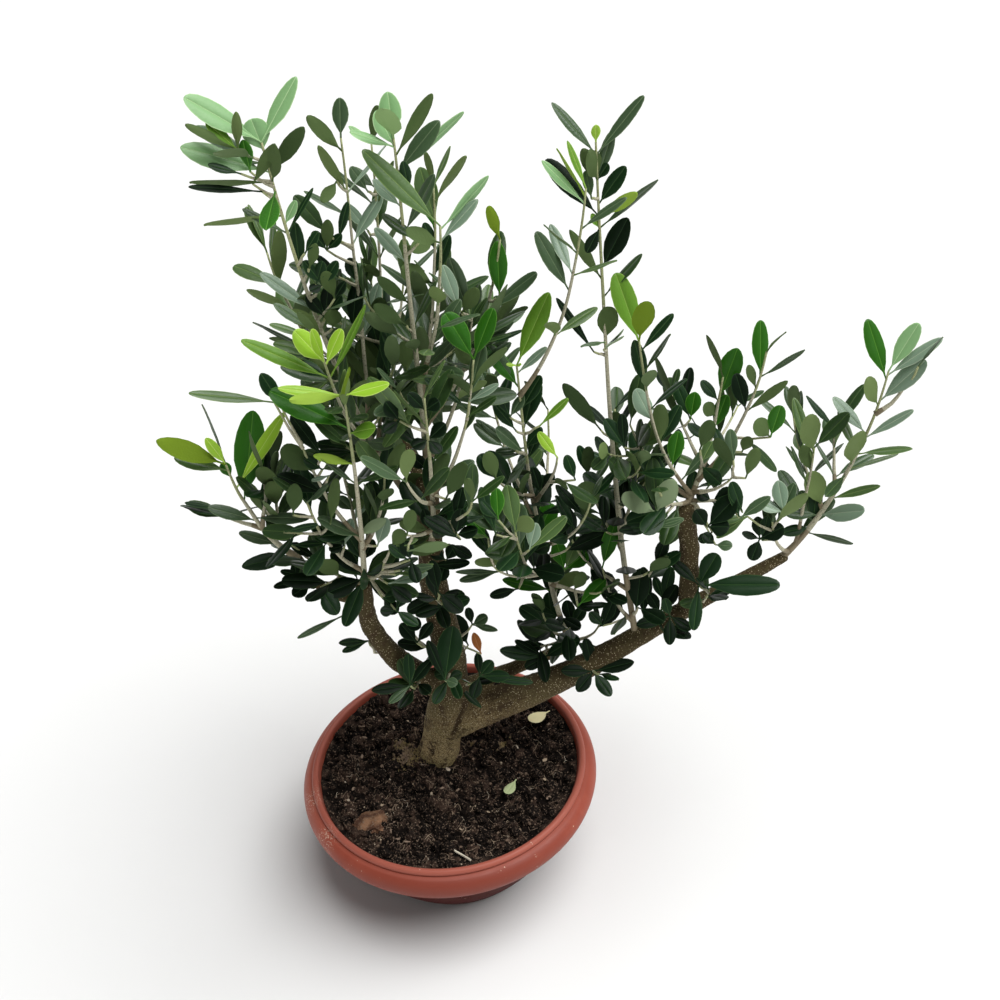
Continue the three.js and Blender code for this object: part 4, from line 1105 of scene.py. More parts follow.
# short twigs for some of those leaves, by mass and number: the shoot they stand on, share of it, tip x, y, z
spurs = {
    "foliage_upper_left": {
        20: (1, 0.62, -34, 20, 627), 21: (3, 0.95, -52, -57, 594), 22: (2, 0.83, -2, 40, 647),
        23: (2, 0.7, -6, 37, 620), 24: (1, 0.33, -27, 13, 555), 60: (0, 0.92, -81, -8, 684),
        61: (0, 0.89, -75, -6, 676), 80: (0, 0.96, -80, -7, 699), 81: (0, 0.88, -70, -5, 670),
        82: (0, 0.91, -75, -6, 684), 83: (1, 0.57, -36, 19, 616), 84: (0, 0.66, -42, -3, 600),
        85: (0, 0.59, -44, -2, 575), 86: (1, 0.8, -22, 24, 662), 87: (1, 0.63, -27, 20, 622),
        100: (0, 0.74, -50, -3, 624), 101: (0, 0.7, -49, -3, 613), 102: (0, 0.67, -46, -3, 601),
        103: (1, 0.5, -31, 17, 596), 104: (0, 0.61, -35, -3, 589), 105: (0, 0.57, -40, -4, 567),
    },
    "foliage_upper_middle": {
        20: (2, 0.74, 51, -3, 569), 21: (2, 0.73, 52, -3, 566), 22: (3, 0.67, 82, 11, 567),
        23: (2, 0.5, 58, -6, 523), 24: (0, 0.49, 12, -10, 565), 80: (0, 0.84, 25, -15, 663),
        81: (0, 0.1, 1, -5, 457), 100: (0, 0.36, 8, -10, 527), 120: (0, 0.7, 28, -14, 627),
    },
    "foliage_front": {
        20: (4, 0, 24, -50, 440), 60: (0, 0.06, 24, -17, 373), 61: (2, 0.32, 28, -60, 413),
        63: (4, 0.78, 56, -28, 541), 80: (0, 0.84, -2, -64, 520), 81: (0, 0, 20, -9, 351),
        100: (3, 0.45, -9, -70, 412), 101: (2, 0.32, 31, -65, 412), 120: (0, 0, 6, -10, 349),
    },
    "foliage_left": {
        20: (3, 0.83, -89, -48, 443), 60: (4, 0.46, -28, -55, 372), 61: (4, 0.7, -17, -61, 388),
        62: (4, 0.81, -10, -64, 399), 63: (5, 0.44, -83, -25, 354), 64: (2, 0.5, -59, -34, 464),
        65: (3, 0.64, -64, -41, 426), 66: (2, 0.66, -61, -33, 480), 80: (2, 0.84, -88, -26, 526),
        81: (2, 0.87, -84, -26, 524), 82: (4, 0.22, -34, -53, 357), 83: (3, 0.31, -57, -34, 399),
        84: (4, 0.79, -8, -64, 399), 85: (0, 0, -70, -28, 324), 86: (2, 0.59, -63, -34, 470),
        100: (4, 0.63, -21, -59, 383), 101: (1, 0.04, -32, -41, 399), 102: (4, 0.91, -21, -58, 409),
        120: (3, 0.65, -98, -51, 431), 121: (5, 0.67, -100, -9, 388), 140: (4, 0.17, -25, -64, 352),
    },
    "foliage_left_outer": {60: (0, 0, -95, 6, 342), 61: (0, 0, -93, 3, 338)},
    "foliage_centre": {
        20: (2, 0.91, 59, -53, 403), 21: (0, 0.81, 104, -5, 465), 22: (10, 0.42, 99, 7, 213),
        40: (4, 0.42, 128, -19, 420), 60: (7, 0.74, 67, -25, 353), 61: (7, 0.38, 77, -18, 318),
        62: (7, 0.89, 55, -24, 379), 63: (2, 0.72, 85, -44, 377), 64: (6, 0.06, 122, 15, 304),
        65: (6, 0.46, 127, -16, 288), 66: (0, 0.75, 85, 0, 443), 80: (0, 0.84, 82, -1, 474),
        81: (0, 0.08, 129, 28, 227), 82: (2, 0.92, 62, -48, 413), 100: (0, 0.81, 86, -1, 461),
        101: (0, 0.75, 84, 0, 442),
    },
    "foliage_tall_middle": {
        20: (0, 0.46, 154, 5, 448), 80: (5, 0.08, 148, -18, 263), 120: (0, 0.91, 151, 8, 635),
        140: (0, 0.63, 150, 6, 517),
    },
    "foliage_right": {
        20: (3, 0.49, 187, -44, 396), 40: (7, 0.79, 263, -29, 373), 41: (3, 0.35, 186, -46, 383),
        42: (6, 0.88, 259, -41, 415), 43: (5, 0.5, 155, -21, 441), 60: (5, 0.57, 167, -20, 445),
        61: (8, 0.58, 243, 57, 414), 62: (2, 0.37, 286, -17, 434), 63: (6, 0.89, 252, -30, 426),
        80: (7, 0.05, 235, -26, 361), 81: (7, 0, 239, -37, 350), 82: (2, 0.27, 266, -10, 419),
        100: (7, 0.66, 260, -31, 369), 101: (7, 0.08, 238, -30, 358), 102: (3, 0.36, 187, -46, 384),
    },
    "foliage_right_end": {
        60: (3, 0.59, 283, -20, 336), 61: (3, 0.8, 272, -17, 359), 80: (3, 0.89, 300, -25, 363),
        100: (3, 0.59, 285, -21, 335),
    },
    "tuft_bough_middle": {
        20: (0, 0.77, 205, -28, 272), 80: (0, 0, 202, -8, 260), 100: (0, 0, 206, -2, 268),
        101: (0, 0, 187, -8, 256),
    },
    "tuft_bough_outer": {20: (0, 0.86, 229, -29, 303)},
    "tuft_left_bough": {20: (0, 0.28, -54, -9, 277)},
    "tuft_trunk_front": {60: (0, 0, 31, 7, 241)},
    "tuft_trunk_high": {60: (0, 0.47, 13, -32, 323)},
    "tuft_trunk_upper_left": {60: (0, 0.7, -21, -11, 297)},
    "tuft_trunk_upper_right": {60: (0, 0.13, 40, -20, 253)},
}
# bare lengths of a shoot, as shares
openSpans = {("foliage_tall_middle", 0): (0.4, 0.62), ("tuft_left_bough", 0): (-1, 2)}
airy = {"foliage_right_end": 1.3, "foliage_rear": 0.75}  # wider or closer leaf spacing
# gaps in the crown as seen from the front: x and z at its middle depth, and radius
clearings = (
    (123, 525, 12), (117, 496, 14), (131, 463, 14), (122, 441, 9), (169, 501, 14), (156, 479, 9),
    (193, 566, 16), (131, 632, 10), (129, 563, 9), (60, 610, 12), (278, 391, 15), (277, 370, 11),
    (-156, 444, 12), (192, 327, 9), (254, 524, 11), (340, 449, 10), (57, 695, 7), (-11, 679, 5),
    (425, 469, 11), (9, 650, 5), (49, 453, 8), (-151, 379, 11), (150, 542, 9), (143, 575, 7),
    (223, 520, 11), (355, 391, 7), (62, 293, 10), (49, 250, 11), (108, 519, 9), (387, 355, 9),
    (-72, 628, 5), (-20, 622, 9), (270, 505, 9), (69, 602, 11), (-84, 487, 9), (51, 467, 9),
    (113, 466, 10), (128, 429, 11), (258, 440, 11), (226, 421, 8), (382, 327, 14), (-139, 401, 14),
    (-138, 441, 8), (159, 325, 13), (185, 302, 9), (177, 281, 8), (259, 247, 9), (-19, 402, 7),
    (-12, 676, 8), (65, 640, 8), (105, 606, 10), (-117, 509, 9), (293, 415, 10), (324, 446, 8),
    (59, 307, 8), (178, 330, 8), (310, 310, 7), (404, 437, 11), (370, 299, 9), (423, 455, 12),
    (409, 490, 8), (361, 293, 9), (376, 313, 6), (-108, 505, 10), (-99, 485, 8), (-126, 500, 10),
    (146, 514, 12), (135, 502, 9), (-124, 466, 8), (122, 570, 9), (6, 602, 9), (5, 587, 8),
    (-86, 630, 8), (384, 297, 10), (399, 287, 8), (127, 417, 9), (194, 323, 8), (177, 284, 8),
    (140, 244, 8), (70, 278, 8), (69, 258, 8), (233, 202, 9), (285, 520, 8), (-152, 359, 10),
    (175, 518, 9), (388, 439, 8),
)
# kinds of shoots: radius, bare share of the length, spacing of the leaf pairs, and level
shootKinds = {"stem": (3.0, 0.12, 18, 0), "lead": (2.0, 0.08, 18, 0), "side": (1.1, 0.15, 10, 1),
              "tuft": (1.5, 0, 14, 2)}
shootRule = {
    "outward": 0.8, "lift": 0.35, "spurOut": 0.6, "spurLift": 0.45, "wander": 2.2, "swayTurns": (2, 5),
    "curvePoints": 33, "tipRadius": 0.8, "innerPitch": 12, "tipPitch": 10, "tuftSeed": 211,
    "sideEvery": 23, "sidePlace": (0.2, 0.8), "sideLength": (24, 52), "sideAngle": 52,
    "sideAngles": (-10, 10), "sideTests": (0.35, 0.6, 0.8, 1), "sideClear": 2, "plainTip": 140,
    "goldenAngle": 137.5, "limbClear": 1.2, "boxSlack": 6,
}
leafRule = {
    # size and outline
    "length": 43, "sizes": (0.84, 1.14), "innerSize": 0.86, "tipSize": 0.72, "tuftSize": 0.78,
    "widths": (0.23, 0.32), "innerWidths": (0.36, 0.48), "bellies": (0.48, 0.58),
    "innerBellies": (0.52, 0.64), "blunts": (0.42, 0.6), "innerBlunts": (0.4, 0.52), "wedge": 1.1,
    "stalk": 0.09, "stalkHalf": 0.7, "stalkThickness": 1.1, "tipHalf": 0.15, "thickness": 0.7,
    "rib": 0.3, "ribShare": 0.4, "edge": 0.5, "rimShare": 0.8, "sideShare": 0.55, "groove": 0.22,
    "keel": 0.35, "rolled": 0.14, "footDepth": 0.6, "footPart": 0.5,
    "fold": (0.02, 0.16), "curl": (-0.04, 0.14), "twist": (-0.55, 0.55), "drawnIn": 0.4,
    # how leaves stand on their shoot
    "tipAngle": 24, "lowAngle": 64, "outerAngle": 47, "pairsToOpen": 4, "pairsToSpread": 3, "angleWander": 15,
    "rollWander": 24, "tries": (0, -14, 14, -26), "pitches": (0.85, 1.15), "seed": 1000, "firstAway": 0.5,
    "faceAlong": 0.75, "faceUp": 0.55, "edgeOn": 0.42,
    # room for other leaves, twigs and lines of sight
    "testFoot": 0.12, "testMiddle": 0.52, "leafNear": 62, "twigNear": 45, "most": 6000,
    "viewer": (0, -726, 905), "sightRoom": 4.5, "sightDepth": 4, "sightParts": (0.35, 0.6, 0.85),
    # single leaves
    "markedRoom": 11, "markedWidth": 1.15, "markedBend": 0.4, "markedSeed": 17, "front": (0.0, -0.62, 0.78),
    "frontLift": 0.25, "edgeLift": 0.3,
    # where leaves are small and dark, and where full-grown and paler; the tones are partly painted shade low
    # in the crown and painted sheen at its top
    "crownLow": 300, "crownHigh": 540, "crownIn": 140, "crownOut": 320,
    "tones": ("deep", "dark", "mid", "grey", "sage", "silver"), "toneSteps": 3.5, "toneOuter": 0.8,
    "toneSpray": 0.48, "toneLeaf": (-0.42, 0.34),
}
print("plan ready,", len(massPlan), "masses and", len(tuftPlan), "tufts")


# Shoots

def shootLine(foot, tip, rng, wander, outward, lift):
    foot, tip = np.asarray(foot, float), np.asarray(tip, float)
    bend = blendOf(foot, tip, np.array([outward, outward, lift]))
    t = np.linspace(0, 1, shootRule["curvePoints"])[:, None]
    points = (1 - t) ** 2 * foot + 2 * t * (1 - t) * bend + t**2 * tip
    # gentle unevenness, none at either end
    for turns in shootRule["swayTurns"]:
        sway = np.array([rng.uniform(-1, 1) for _ in range(3)]) * wander / turns
        points = points + np.sin(math.pi * t) * np.sin(math.pi * turns * t + rng.uniform(0, 6)) * sway
    return asLine(points)


def newShoot(mass, parent, foot, tip, kind, rng, number=None):
    radius, bare, pitch, level = shootKinds[kind]
    spur = level == 1 and number
    at, foot = (foot, placeOn(parent["line"], foot)) if parent else (0, foot)
    line = shootLine(foot, tip, rng, shootRule["wander"], shootRule["spurOut" if spur else "outward"],
                     shootRule["spurLift" if spur else "lift"])
    return {"mass": mass, "line": line, "radius": radius, "bare": bare, "pitch": pitch, "number": number,
            "level": level, "seed": rng.random(), "taken": [], "leafy": 0, "parent": parent, "at": at,
            "young": youngShoots.get((mass, number), ("", 0, 1)),
            "open": openSpans.get((mass, number), (1, 1))}


def addSpurs(mass, leaders):
    found = []
    for number, (on, share, *tip) in spurs.get(mass, {}).items():
        found.append(newShoot(mass, leaders[on], share, tip, "side", random.Random(number), number))
    return found


def leadingShoots(mass, plan, rng):
    foot = placeOn(limbLines[plan["on"]], plan["at"])
    stem = newShoot(mass, None, foot, plan["stem"], "stem", rng, 0)
    return [stem] + [newShoot(mass, stem, share, tip, "lead", rng, number)
                     for number, (share, *tip) in enumerate(plan["shoots"], 1)]


def clearOfLimbs(places, margin):
    away = np.linalg.norm(places[:, None] - limbPlaces[None], axis=2) - limbRadii[None]
    return away.min() > margin


def massBox(mass):
    low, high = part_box(mass)
    return np.array(low) / mm - shootRule["boxSlack"], np.array(high) / mm + shootRule["boxSlack"]


def inReach(box, places):
    return (places > box[0]).all() and (places < box[1]).all()


def sideShoots(shoot, box, rng):
    found = []
    line = shoot["line"]
    top = 1 - shootRule["plainTip"] / lengthOf(line)
    count = int(lengthOf(line) * max(0, top - shoot["bare"]) / shootRule["sideEvery"])
    roll = rng.uniform(0, 2 * math.pi)
    low, high = shoot["open"]
    for i in range(count):
        share = blendOf(shoot["bare"], top, (i + rng.uniform(*shootRule["sidePlace"])) / count)
        heading = headingOn(line, share)
        side = sideOf(heading, roll + i * math.radians(shootRule["goldenAngle"]))
        angle = math.radians(shootRule["sideAngle"] + rng.uniform(*shootRule["sideAngles"]))
        way = math.cos(angle) * heading + math.sin(angle) * side
        tip = placeOn(line, share) + rng.uniform(*shootRule["sideLength"]) * way
        made = newShoot(shoot["mass"], shoot, share, tip, "side", rng)
        places = np.array([placeOn(made["line"], s) for s in shootRule["sideTests"]])
        inOpen = low < share < high
        if not inOpen and clearOfLimbs(places, shootRule["sideClear"]) and inReach(box, places):
            found.append(made)
    return found


def growShoots():
    shoots = []
    for mass, plan in massPlan.items():
        rng = random.Random(plan["seed"])
        box = massBox(mass)
        leaders = leadingShoots(mass, plan, rng)
        shoots += leaders + addSpurs(mass, leaders)
        for leader in leaders:
            shoots += sideShoots(leader, box, rng)
    for i, (mass, (limb, share, *tip)) in enumerate(tuftPlan.items()):
        rng = random.Random(shootRule["tuftSeed"] + i)
        tuft = newShoot(mass, None, placeOn(limbLines[limb], share), tip, "tuft", rng, 0)
        shoots += [tuft] + addSpurs(mass, [tuft])
    return shoots


shoots = growShoots()
print("shoots grown,", len(shoots))


# Twigs

twig = {
    "ringStep": 7, "fewestRings": 4, "stemSides": 8, "sides": 6,
    "taper": 0.8, "collar": 0.35, "collarReach": 8,
    "green": colour(164, 170, 122), "grey": colour(186, 182, 156), "brown": colour(136, 124, 98),
    "scar": colour(106, 98, 76), "brownTo": 0.18, "greyTo": 0.72, "sideGreyTo": 0.5,
    "roughness": 0.75, "grain": {"patch": 0.02, "grain": 0.0012, "speck": 0.003},
    "scarSpan": (0.5, 0.75), "roughSpan": (0.65, 0.85), "bump": (0.5, 0.0004),
}


def twigMaterial(name, base):
    material, tree, shader, group = newMaterial(name, base, twig["roughness"], **twig["grain"])
    scarred = tinted(tree, base, twig["scar"], group.outputs["Grain"], *twig["scarSpan"])
    tree.links.new(scarred, shader.inputs["Base Color"])
    roughFrom(tree, shader, group.outputs["Patches"], *twig["roughSpan"])
    bumpFrom(tree, shader, group.outputs["Grain"], *twig["bump"])
    return material


def makeTwigs():
    materials = [twigMaterial("twigGreen", twig["green"]), twigMaterial("twigGrey", twig["grey"]),
                 twigMaterial("twigBrown", twig["brown"])]
    for shoot in reversed(shoots):
        if shoot["parent"] and shoot["leafy"]:
            shoot["parent"]["leafy"] = max(shoot["parent"]["leafy"], shoot["at"])
    heap = newHeap()
    for shoot in shoots:
        line, end = shoot["line"], shoot["leafy"]  # a twig stops at its last leaf or side shoot
        if end == 0:
            continue
        count = max(twig["fewestRings"], int(end * lengthOf(line) / twig["ringStep"]) + 1)
        shares = np.linspace(0, end, count)
        points = np.array([placeOn(line, s) for s in shares])
        radii = blendOf(shoot["radius"], shootRule["tipRadius"], (shares / end) ** twig["taper"])
        radii = radii * (1 + twig["collar"] * np.exp(-shares * lengthOf(line) / twig["collarReach"]))
        sides = twig["stemSides" if shoot["number"] == 0 else "sides"]
        corners, faces = tube(points, radii, sides)
        # brown foot, grey middle, green tip
        middle = np.repeat((shares[:-1] + shares[1:]) / 2, 2 * sides)
        slots = np.where(middle > twig["greyTo"], 0, np.where(middle > twig["brownTo"], 1, 2))
        if shoot["level"]:
            slots = np.where(middle > twig["sideGreyTo"], 0, 1)
        addTo(heap, corners, faces, np.concatenate([slots, np.zeros(2 * sides, int)]))
    settle(pieceFrom("twigs", heap, materials), "foliage")


# Leaves

def leafTemplate():
    # cuts along the leaf, and twelve points round each cut: nine on the face, three on the back
    cuts = np.array([0, 0.06, 0.13, 0.26, 0.43, 0.59, 0.74, 0.87, 0.955, 0.992])
    # face 0, back 1, pale midrib and edges 2, the edges with a painted highlight
    strips = [2, 0, 0, 2, 2, 0, 0, 2, 1, 1, 1, 1]
    ends = [kind for j in range(len(strips)) for kind in (1, 0 if j < 8 else 1)]
    kinds = np.concatenate([np.tile(np.repeat(strips, 2), len(cuts) - 1), ends])
    return cuts, np.array(closedFaces(len(cuts), len(strips))), kinds


leafCuts, leafFaces, leafKinds = leafTemplate()


def bladeWidths(belly, blunt):
    # a wedge up to the widest place, and a rounded end beyond it
    stalk = leafRule["stalk"]
    u = np.clip((leafCuts - stalk) / (1 - stalk), 0, 1)
    wedge = np.sin(np.clip(u / belly, 0, 1) * math.pi / 2) ** leafRule["wedge"]
    end = np.clip(1 - ((u - belly) / (1 - belly)) ** 2, 0, 1) ** blunt
    return np.where(u < belly, wedge, end)


def leafCorners(leaf):
    # the blade lies along y, its face towards +z, before it is turned into place
    length, half = leaf["length"], leaf["width"] / 2
    wide = half * bladeWidths(leaf["belly"], leaf["blunt"])
    least = np.where(leafCuts < leafRule["footPart"], leafRule["stalkHalf"], leafRule["tipHalf"])
    wide = np.maximum(wide, least)
    thick = np.where(leafCuts < leafRule["stalk"], leafRule["stalkThickness"], leafRule["thickness"])
    rib = np.minimum(leafRule["rib"], leafRule["ribShare"] * wide)
    rim = np.maximum(wide - leafRule["edge"], leafRule["rimShare"] * wide)
    side = leafRule["sideShare"] * wide
    middle = 0 * wide
    face = [-wide, -rim, -side, -rib, middle, rib, side, rim, wide]
    across = np.stack([*face, side, middle, -side], axis=1)
    crown = 1 - (across / wide[:, None]) ** 2
    sign = np.array([0, 1, 1, 1, 1, 1, 1, 1, 0, -1, -1, -1])
    up = sign * crown * thick[:, None] / 2
    up[:, 4] -= leafRule["groove"]
    up[:, 10] -= leafRule["keel"]
    # folded, with the edges rolled back
    up += leaf["fold"] * np.abs(across) - leafRule["rolled"] * half * (np.abs(across) / half) ** 3
    along = np.repeat((leafCuts * length)[:, None], across.shape[1], axis=1)
    points = np.stack([across, along, up], axis=2).reshape(-1, 3)
    points = np.vstack([points, (0, -leafRule["footDepth"], 0), (0, length, 0)])
    share = np.clip(points[:, 1] / length, 0, 1)
    twist = leaf["twist"] * share
    x, z = points[:, 0].copy(), points[:, 2].copy()
    points[:, 0] = x * np.cos(twist) - z * np.sin(twist)
    points[:, 2] = x * np.sin(twist) + z * np.cos(twist)
    points[:, 2] -= leaf["curl"] * length * share**2
    points[:, 1] -= abs(leaf["curl"]) * leafRule["drawnIn"] * length * share**2
    return points @ leaf["turn"] + leaf["root"]


def leafDiamond(root, along, across, length, width):
    # the flat shape that is tested for room: foot, tip and both edges
    middle = root + along * length * leafRule["testMiddle"]
    return np.array([root + along * length * leafRule["testFoot"], root + along * length,
                     middle - across * width / 2, middle + across * width / 2])


def pierced(starts, ends, triangles):
    # whether any of the segments passes through any of the triangles
    if not len(starts) or not len(triangles):
        return False
    d = (ends - starts)[:, None]
    a = triangles[:, 0]
    e1, e2 = triangles[:, 1] - a, triangles[:, 2] - a
    h = np.cross(d, e2[None])
    det = (e1[None] * h).sum(-1)
    det = np.where(np.abs(det) < 1e-9, 1e-9, det)
    s = starts[:, None] - a[None]
    u = (s * h).sum(-1) / det
    q = np.cross(s, e1[None])
    v = (d * q).sum(-1) / det
    t = (e2[None] * q).sum(-1) / det
    return bool(((u > 0) & (v > 0) & (u + v < 1) & (t > 0) & (t < 1)).any())


def edgesOf(diamonds):
    order = [(0, 2), (2, 1), (1, 3), (3, 0), (0, 1)]
    starts = np.concatenate([diamonds[:, a] for a, b in order])
    ends = np.concatenate([diamonds[:, b] for a, b in order])
    return starts, ends


def trianglesOf(diamonds):
    return np.concatenate([diamonds[:, [0, 1, 2]], diamonds[:, [0, 1, 3]]])


def twigSegments():
    starts, ends = [], []
    for shoot in shoots:
        places = np.array([placeOn(shoot["line"], s) for s in np.linspace(0, 1, 9)])
        starts.append(places[:-1])
        ends.append(places[1:])
    return np.vstack(starts), np.vstack(ends)


twigStarts, twigEnds = twigSegments()
grownDiamonds = np.zeros((leafRule["most"], 4, 3))
grownMiddles = np.zeros((leafRule["most"], 3))
leaves = []
markedPlaces = []  # points on the marked leaves, which no other leaf may hide from the front


def sightLines(places):
    ways = np.asarray(places, float) - leafRule["viewer"]
    away = np.linalg.norm(ways, axis=1)
    return ways / away[:, None], away


clearWays = sightLines([(x, 0, z) for x, z, _ in clearings])[0]
clearRadii = np.array([radius for *_, radius in clearings])


def asideOf(ways, place):
    reach = place - np.array(leafRule["viewer"])
    ahead = ways @ reach
    return ahead, np.linalg.norm(reach - ahead[:, None] * ways, axis=1)


def inTheWay(diamond):
    # whether a leaf would cover a gap in the crown, or a marked leaf
    ways, away = sightLines(markedPlaces)
    for place in (diamond[0], diamond.mean(0), diamond[1]):
        if (asideOf(clearWays, place)[1] < clearRadii).any():
            return True
        ahead, aside = asideOf(ways, place)
        if ((aside < leafRule["sightRoom"]) & (ahead < away - leafRule["sightDepth"])).any():
            return True
    return False


def leafFits(diamond, box):
    middle = diamond.mean(0)
    if inTheWay(diamond):
        return False
    tests = np.vstack([diamond[1:], (diamond[0] + diamond[1]) / 2, 0.3 * diamond[0] + 0.7 * diamond[1]])
    if not inReach(box, tests) or not clearOfLimbs(tests, shootRule["limbClear"]):
        return False
    away = np.linalg.norm(grownMiddles[:len(leaves)] - middle, axis=1)
    near = grownDiamonds[:len(leaves)][away < leafRule["leafNear"]]
    own = diamond[None]
    if pierced(*edgesOf(near), trianglesOf(own)) or pierced(*edgesOf(own), trianglesOf(near)):
        return False
    close = np.linalg.norm((twigStarts + twigEnds) / 2 - middle, axis=1) < leafRule["twigNear"]
    return not pierced(twigStarts[close], twigEnds[close], trianglesOf(own))


def outerShare(place):
    # 0 for the small leaves low in the crown, 1 for the full-grown ones at its top and its ends
    high = (place[2] - leafRule["crownLow"]) / (leafRule["crownHigh"] - leafRule["crownLow"])
    away = math.hypot(place[0], place[1])
    wide = (away - leafRule["crownIn"]) / (leafRule["crownOut"] - leafRule["crownIn"])
    return min(1, max(0, high, wide))


def toneOf(shoot, pair, outer, rng):
    tone, pairs = shoot["young"][:2]
    if pair < pairs:
        return tone
    # a spray keeps to neighbouring tones, darker low in the crown and paler at its top and ends: partly the
    # leaves' own colour, partly painted shade and painted sheen
    tones = leafRule["tones"]
    level = (leafRule["toneOuter"] * outer + leafRule["toneSpray"] * shoot["seed"]
             + rng.uniform(*leafRule["toneLeaf"]))
    return tones[min(len(tones) - 1, max(0, int(level * leafRule["toneSteps"])))]


def newLeaf(mass, root, along, face, length, width, tone, outer, rng):
    across = unit(np.cross(along, face))
    normal = np.cross(across, along)
    kinds = (("belly", "innerBellies", "bellies"), ("blunt", "innerBlunts", "blunts"))
    shape = {key: blendOf(rng.uniform(*leafRule[inner]), rng.uniform(*leafRule[grown]), outer)
             for key, inner, grown in kinds}
    bends = {key: rng.uniform(*leafRule[key]) for key in ("fold", "curl", "twist")}
    return {"mass": mass, "root": root, "length": length, "width": width, "tone": tone,
            "turn": np.array([across, along, normal]), **shape, **bends,
            "diamond": leafDiamond(root, along, across, length, width)}


def keepLeaf(leaf):
    grownDiamonds[len(leaves)] = leaf["diamond"]
    grownMiddles[len(leaves)] = leaf["diamond"].mean(0)
    leaves.append(leaf)


def growMarkedLeaves():
    rng = random.Random(leafRule["markedSeed"])
    byNumber = {(shoot["mass"], shoot["number"]): shoot for shoot in shoots}
    for mass, sets in markedLeaves.items():
        for number, rows in sets.items():
            for row in rows:
                growMarkedLeaf(rng, byNumber[mass, number], *row)


def growMarkedLeaf(rng, shoot, share, x, y, z, width, tone, shows=1):
    front = np.array(leafRule["front"])
    root = placeOn(shoot["line"], share)
    reach = np.array([x, y, z]) - root
    along = unit(reach)
    if shows:
        face = shows * front + leafRule["frontLift"] * upward
    else:
        face = unit(np.cross(along, front)) + leafRule["edgeLift"] * upward
    leaf = newLeaf(shoot["mass"], root, along, face, np.linalg.norm(reach), width * leafRule["markedWidth"],
                   tone, 1, rng)
    leaf["twist"] *= leafRule["markedBend"]
    leaf["curl"] *= leafRule["markedBend"]
    keepLeaf(leaf)
    shoot["taken"].append(share * lengthOf(shoot["line"]))
    shoot["leafy"] = max(shoot["leafy"], share)
    markedPlaces.extend(root + reach * part for part in leafRule["sightParts"])


def growLeaves(shoot, box, rng):
    line, total = shoot["line"], lengthOf(shoot["line"])
    low, high = shoot["open"]
    roll = rng.uniform(0, math.pi)
    away, pair = leafRule["firstAway"], 0
    while away < total * (1 - shoot["bare"]):
        share = 1 - away / total
        root, heading = placeOn(line, share), headingOn(line, share)
        outer = 0 if shoot["level"] == 2 else outerShare(root)
        size = shoot["young"][2] * blendOf(leafRule["innerSize"], 1, outer)
        size *= leafRule["tuftSize"] if shoot["level"] == 2 else 1
        size *= leafRule["tipSize"] if pair == 0 else 1
        opened = blendOf(leafRule["lowAngle"], leafRule["outerAngle"], outer)
        opening = blendOf(leafRule["tipAngle"], opened, min(1, pair / leafRule["pairsToOpen"]))
        free = all(abs(share * total - place) > leafRule["markedRoom"] for place in shoot["taken"])
        for turn in (0, math.pi):
            side = sideOf(heading, roll + turn + math.radians(rng.uniform(-1, 1) * leafRule["rollWander"]))
            length = leafRule["length"] * size * rng.uniform(*leafRule["sizes"])
            inner, grown = rng.uniform(*leafRule["innerWidths"]), rng.uniform(*leafRule["widths"])
            width = length * blendOf(inner, grown, outer)
            angle = opening + rng.uniform(-1, 1) * leafRule["angleWander"]
            tone = toneOf(shoot, pair, outer, rng)
            for change in leafRule["tries"] if free and not low < share < high else ():
                lean = math.radians(angle + change)
                along = unit(math.cos(lean) * heading + math.sin(lean) * side)
                face = unit(leafRule["faceAlong"] * heading + leafRule["faceUp"] * upward)
                front = unit(np.array(leafRule["viewer"]) - root)
                normal = unit(face - np.dot(face, along) * along)
                if abs(np.dot(normal, front)) < leafRule["edgeOn"]:
                    face = normal + math.copysign(leafRule["edgeOn"], np.dot(normal, front)) * front
                leaf = newLeaf(shoot["mass"], root, along, face, length, width, tone, outer, rng)
                if leafFits(leaf["diamond"], box):
                    keepLeaf(leaf)
                    shoot["leafy"] = max(shoot["leafy"], share)
                    break
        pair += 1
        roll += math.pi / 2
        pitch = shoot["pitch"] * airy.get(shoot["mass"], 1)
        if shoot["level"] == 0:
            pitch = blendOf(shootRule["innerPitch"], pitch, outer)
        spread = min(1, pair / leafRule["pairsToSpread"])
        away += blendOf(shootRule["tipPitch"], pitch, spread) * rng.uniform(*leafRule["pitches"])


def growAllLeaves():
    for i, shoot in enumerate(shoots):
        growLeaves(shoot, massBox(shoot["mass"]), random.Random(leafRule["seed"] + i))


growMarkedLeaves()
growAllLeaves()
makeTwigs()
print("twigs made, leaves grown,", len(leaves))

leafTones = {  # face, back, midrib and edge with its painted highlight, how strongly the face mirrors, and its roughness
    # the deep and dark faces partly stand for painted shade, and the grey, sage and silver faces partly for
    # painted sheen
    "deep": (colour(9, 28, 10), colour(50, 68, 36), colour(38, 62, 34), 0.14, 0.46),
    "dark": (colour(17, 47, 18), colour(66, 86, 48), colour(56, 84, 46), 0.24, 0.42),
    "mid": (colour(40, 66, 27), colour(82, 102, 58), colour(78, 102, 56), 0.36, 0.4),
    "grey": (colour(62, 86, 54), colour(98, 118, 78), colour(106, 126, 92), 0.5, 0.36),
    "sage": (colour(76, 104, 54), colour(108, 128, 76), colour(118, 142, 84), 0.5, 0.36),
    "silver": (colour(120, 144, 120), colour(130, 148, 112), colour(160, 178, 152), 0.55, 0.34),
    "green": (colour(40, 96, 12), colour(84, 114, 40), colour(84, 136, 48), 0.24, 0.4),
    "fresh": (colour(98, 142, 40), colour(108, 134, 30), colour(140, 174, 78), 0.28, 0.4),
    "lime": (colour(148, 192, 50), colour(142, 172, 64), colour(186, 214, 106), 0.36, 0.38),
    "mint": (colour(130, 173, 116), colour(138, 168, 110), colour(172, 204, 152), 0.4, 0.38),
    "dry": (colour(150, 92, 48), colour(150, 104, 62), colour(170, 116, 70), 0.15, 0.6),
}
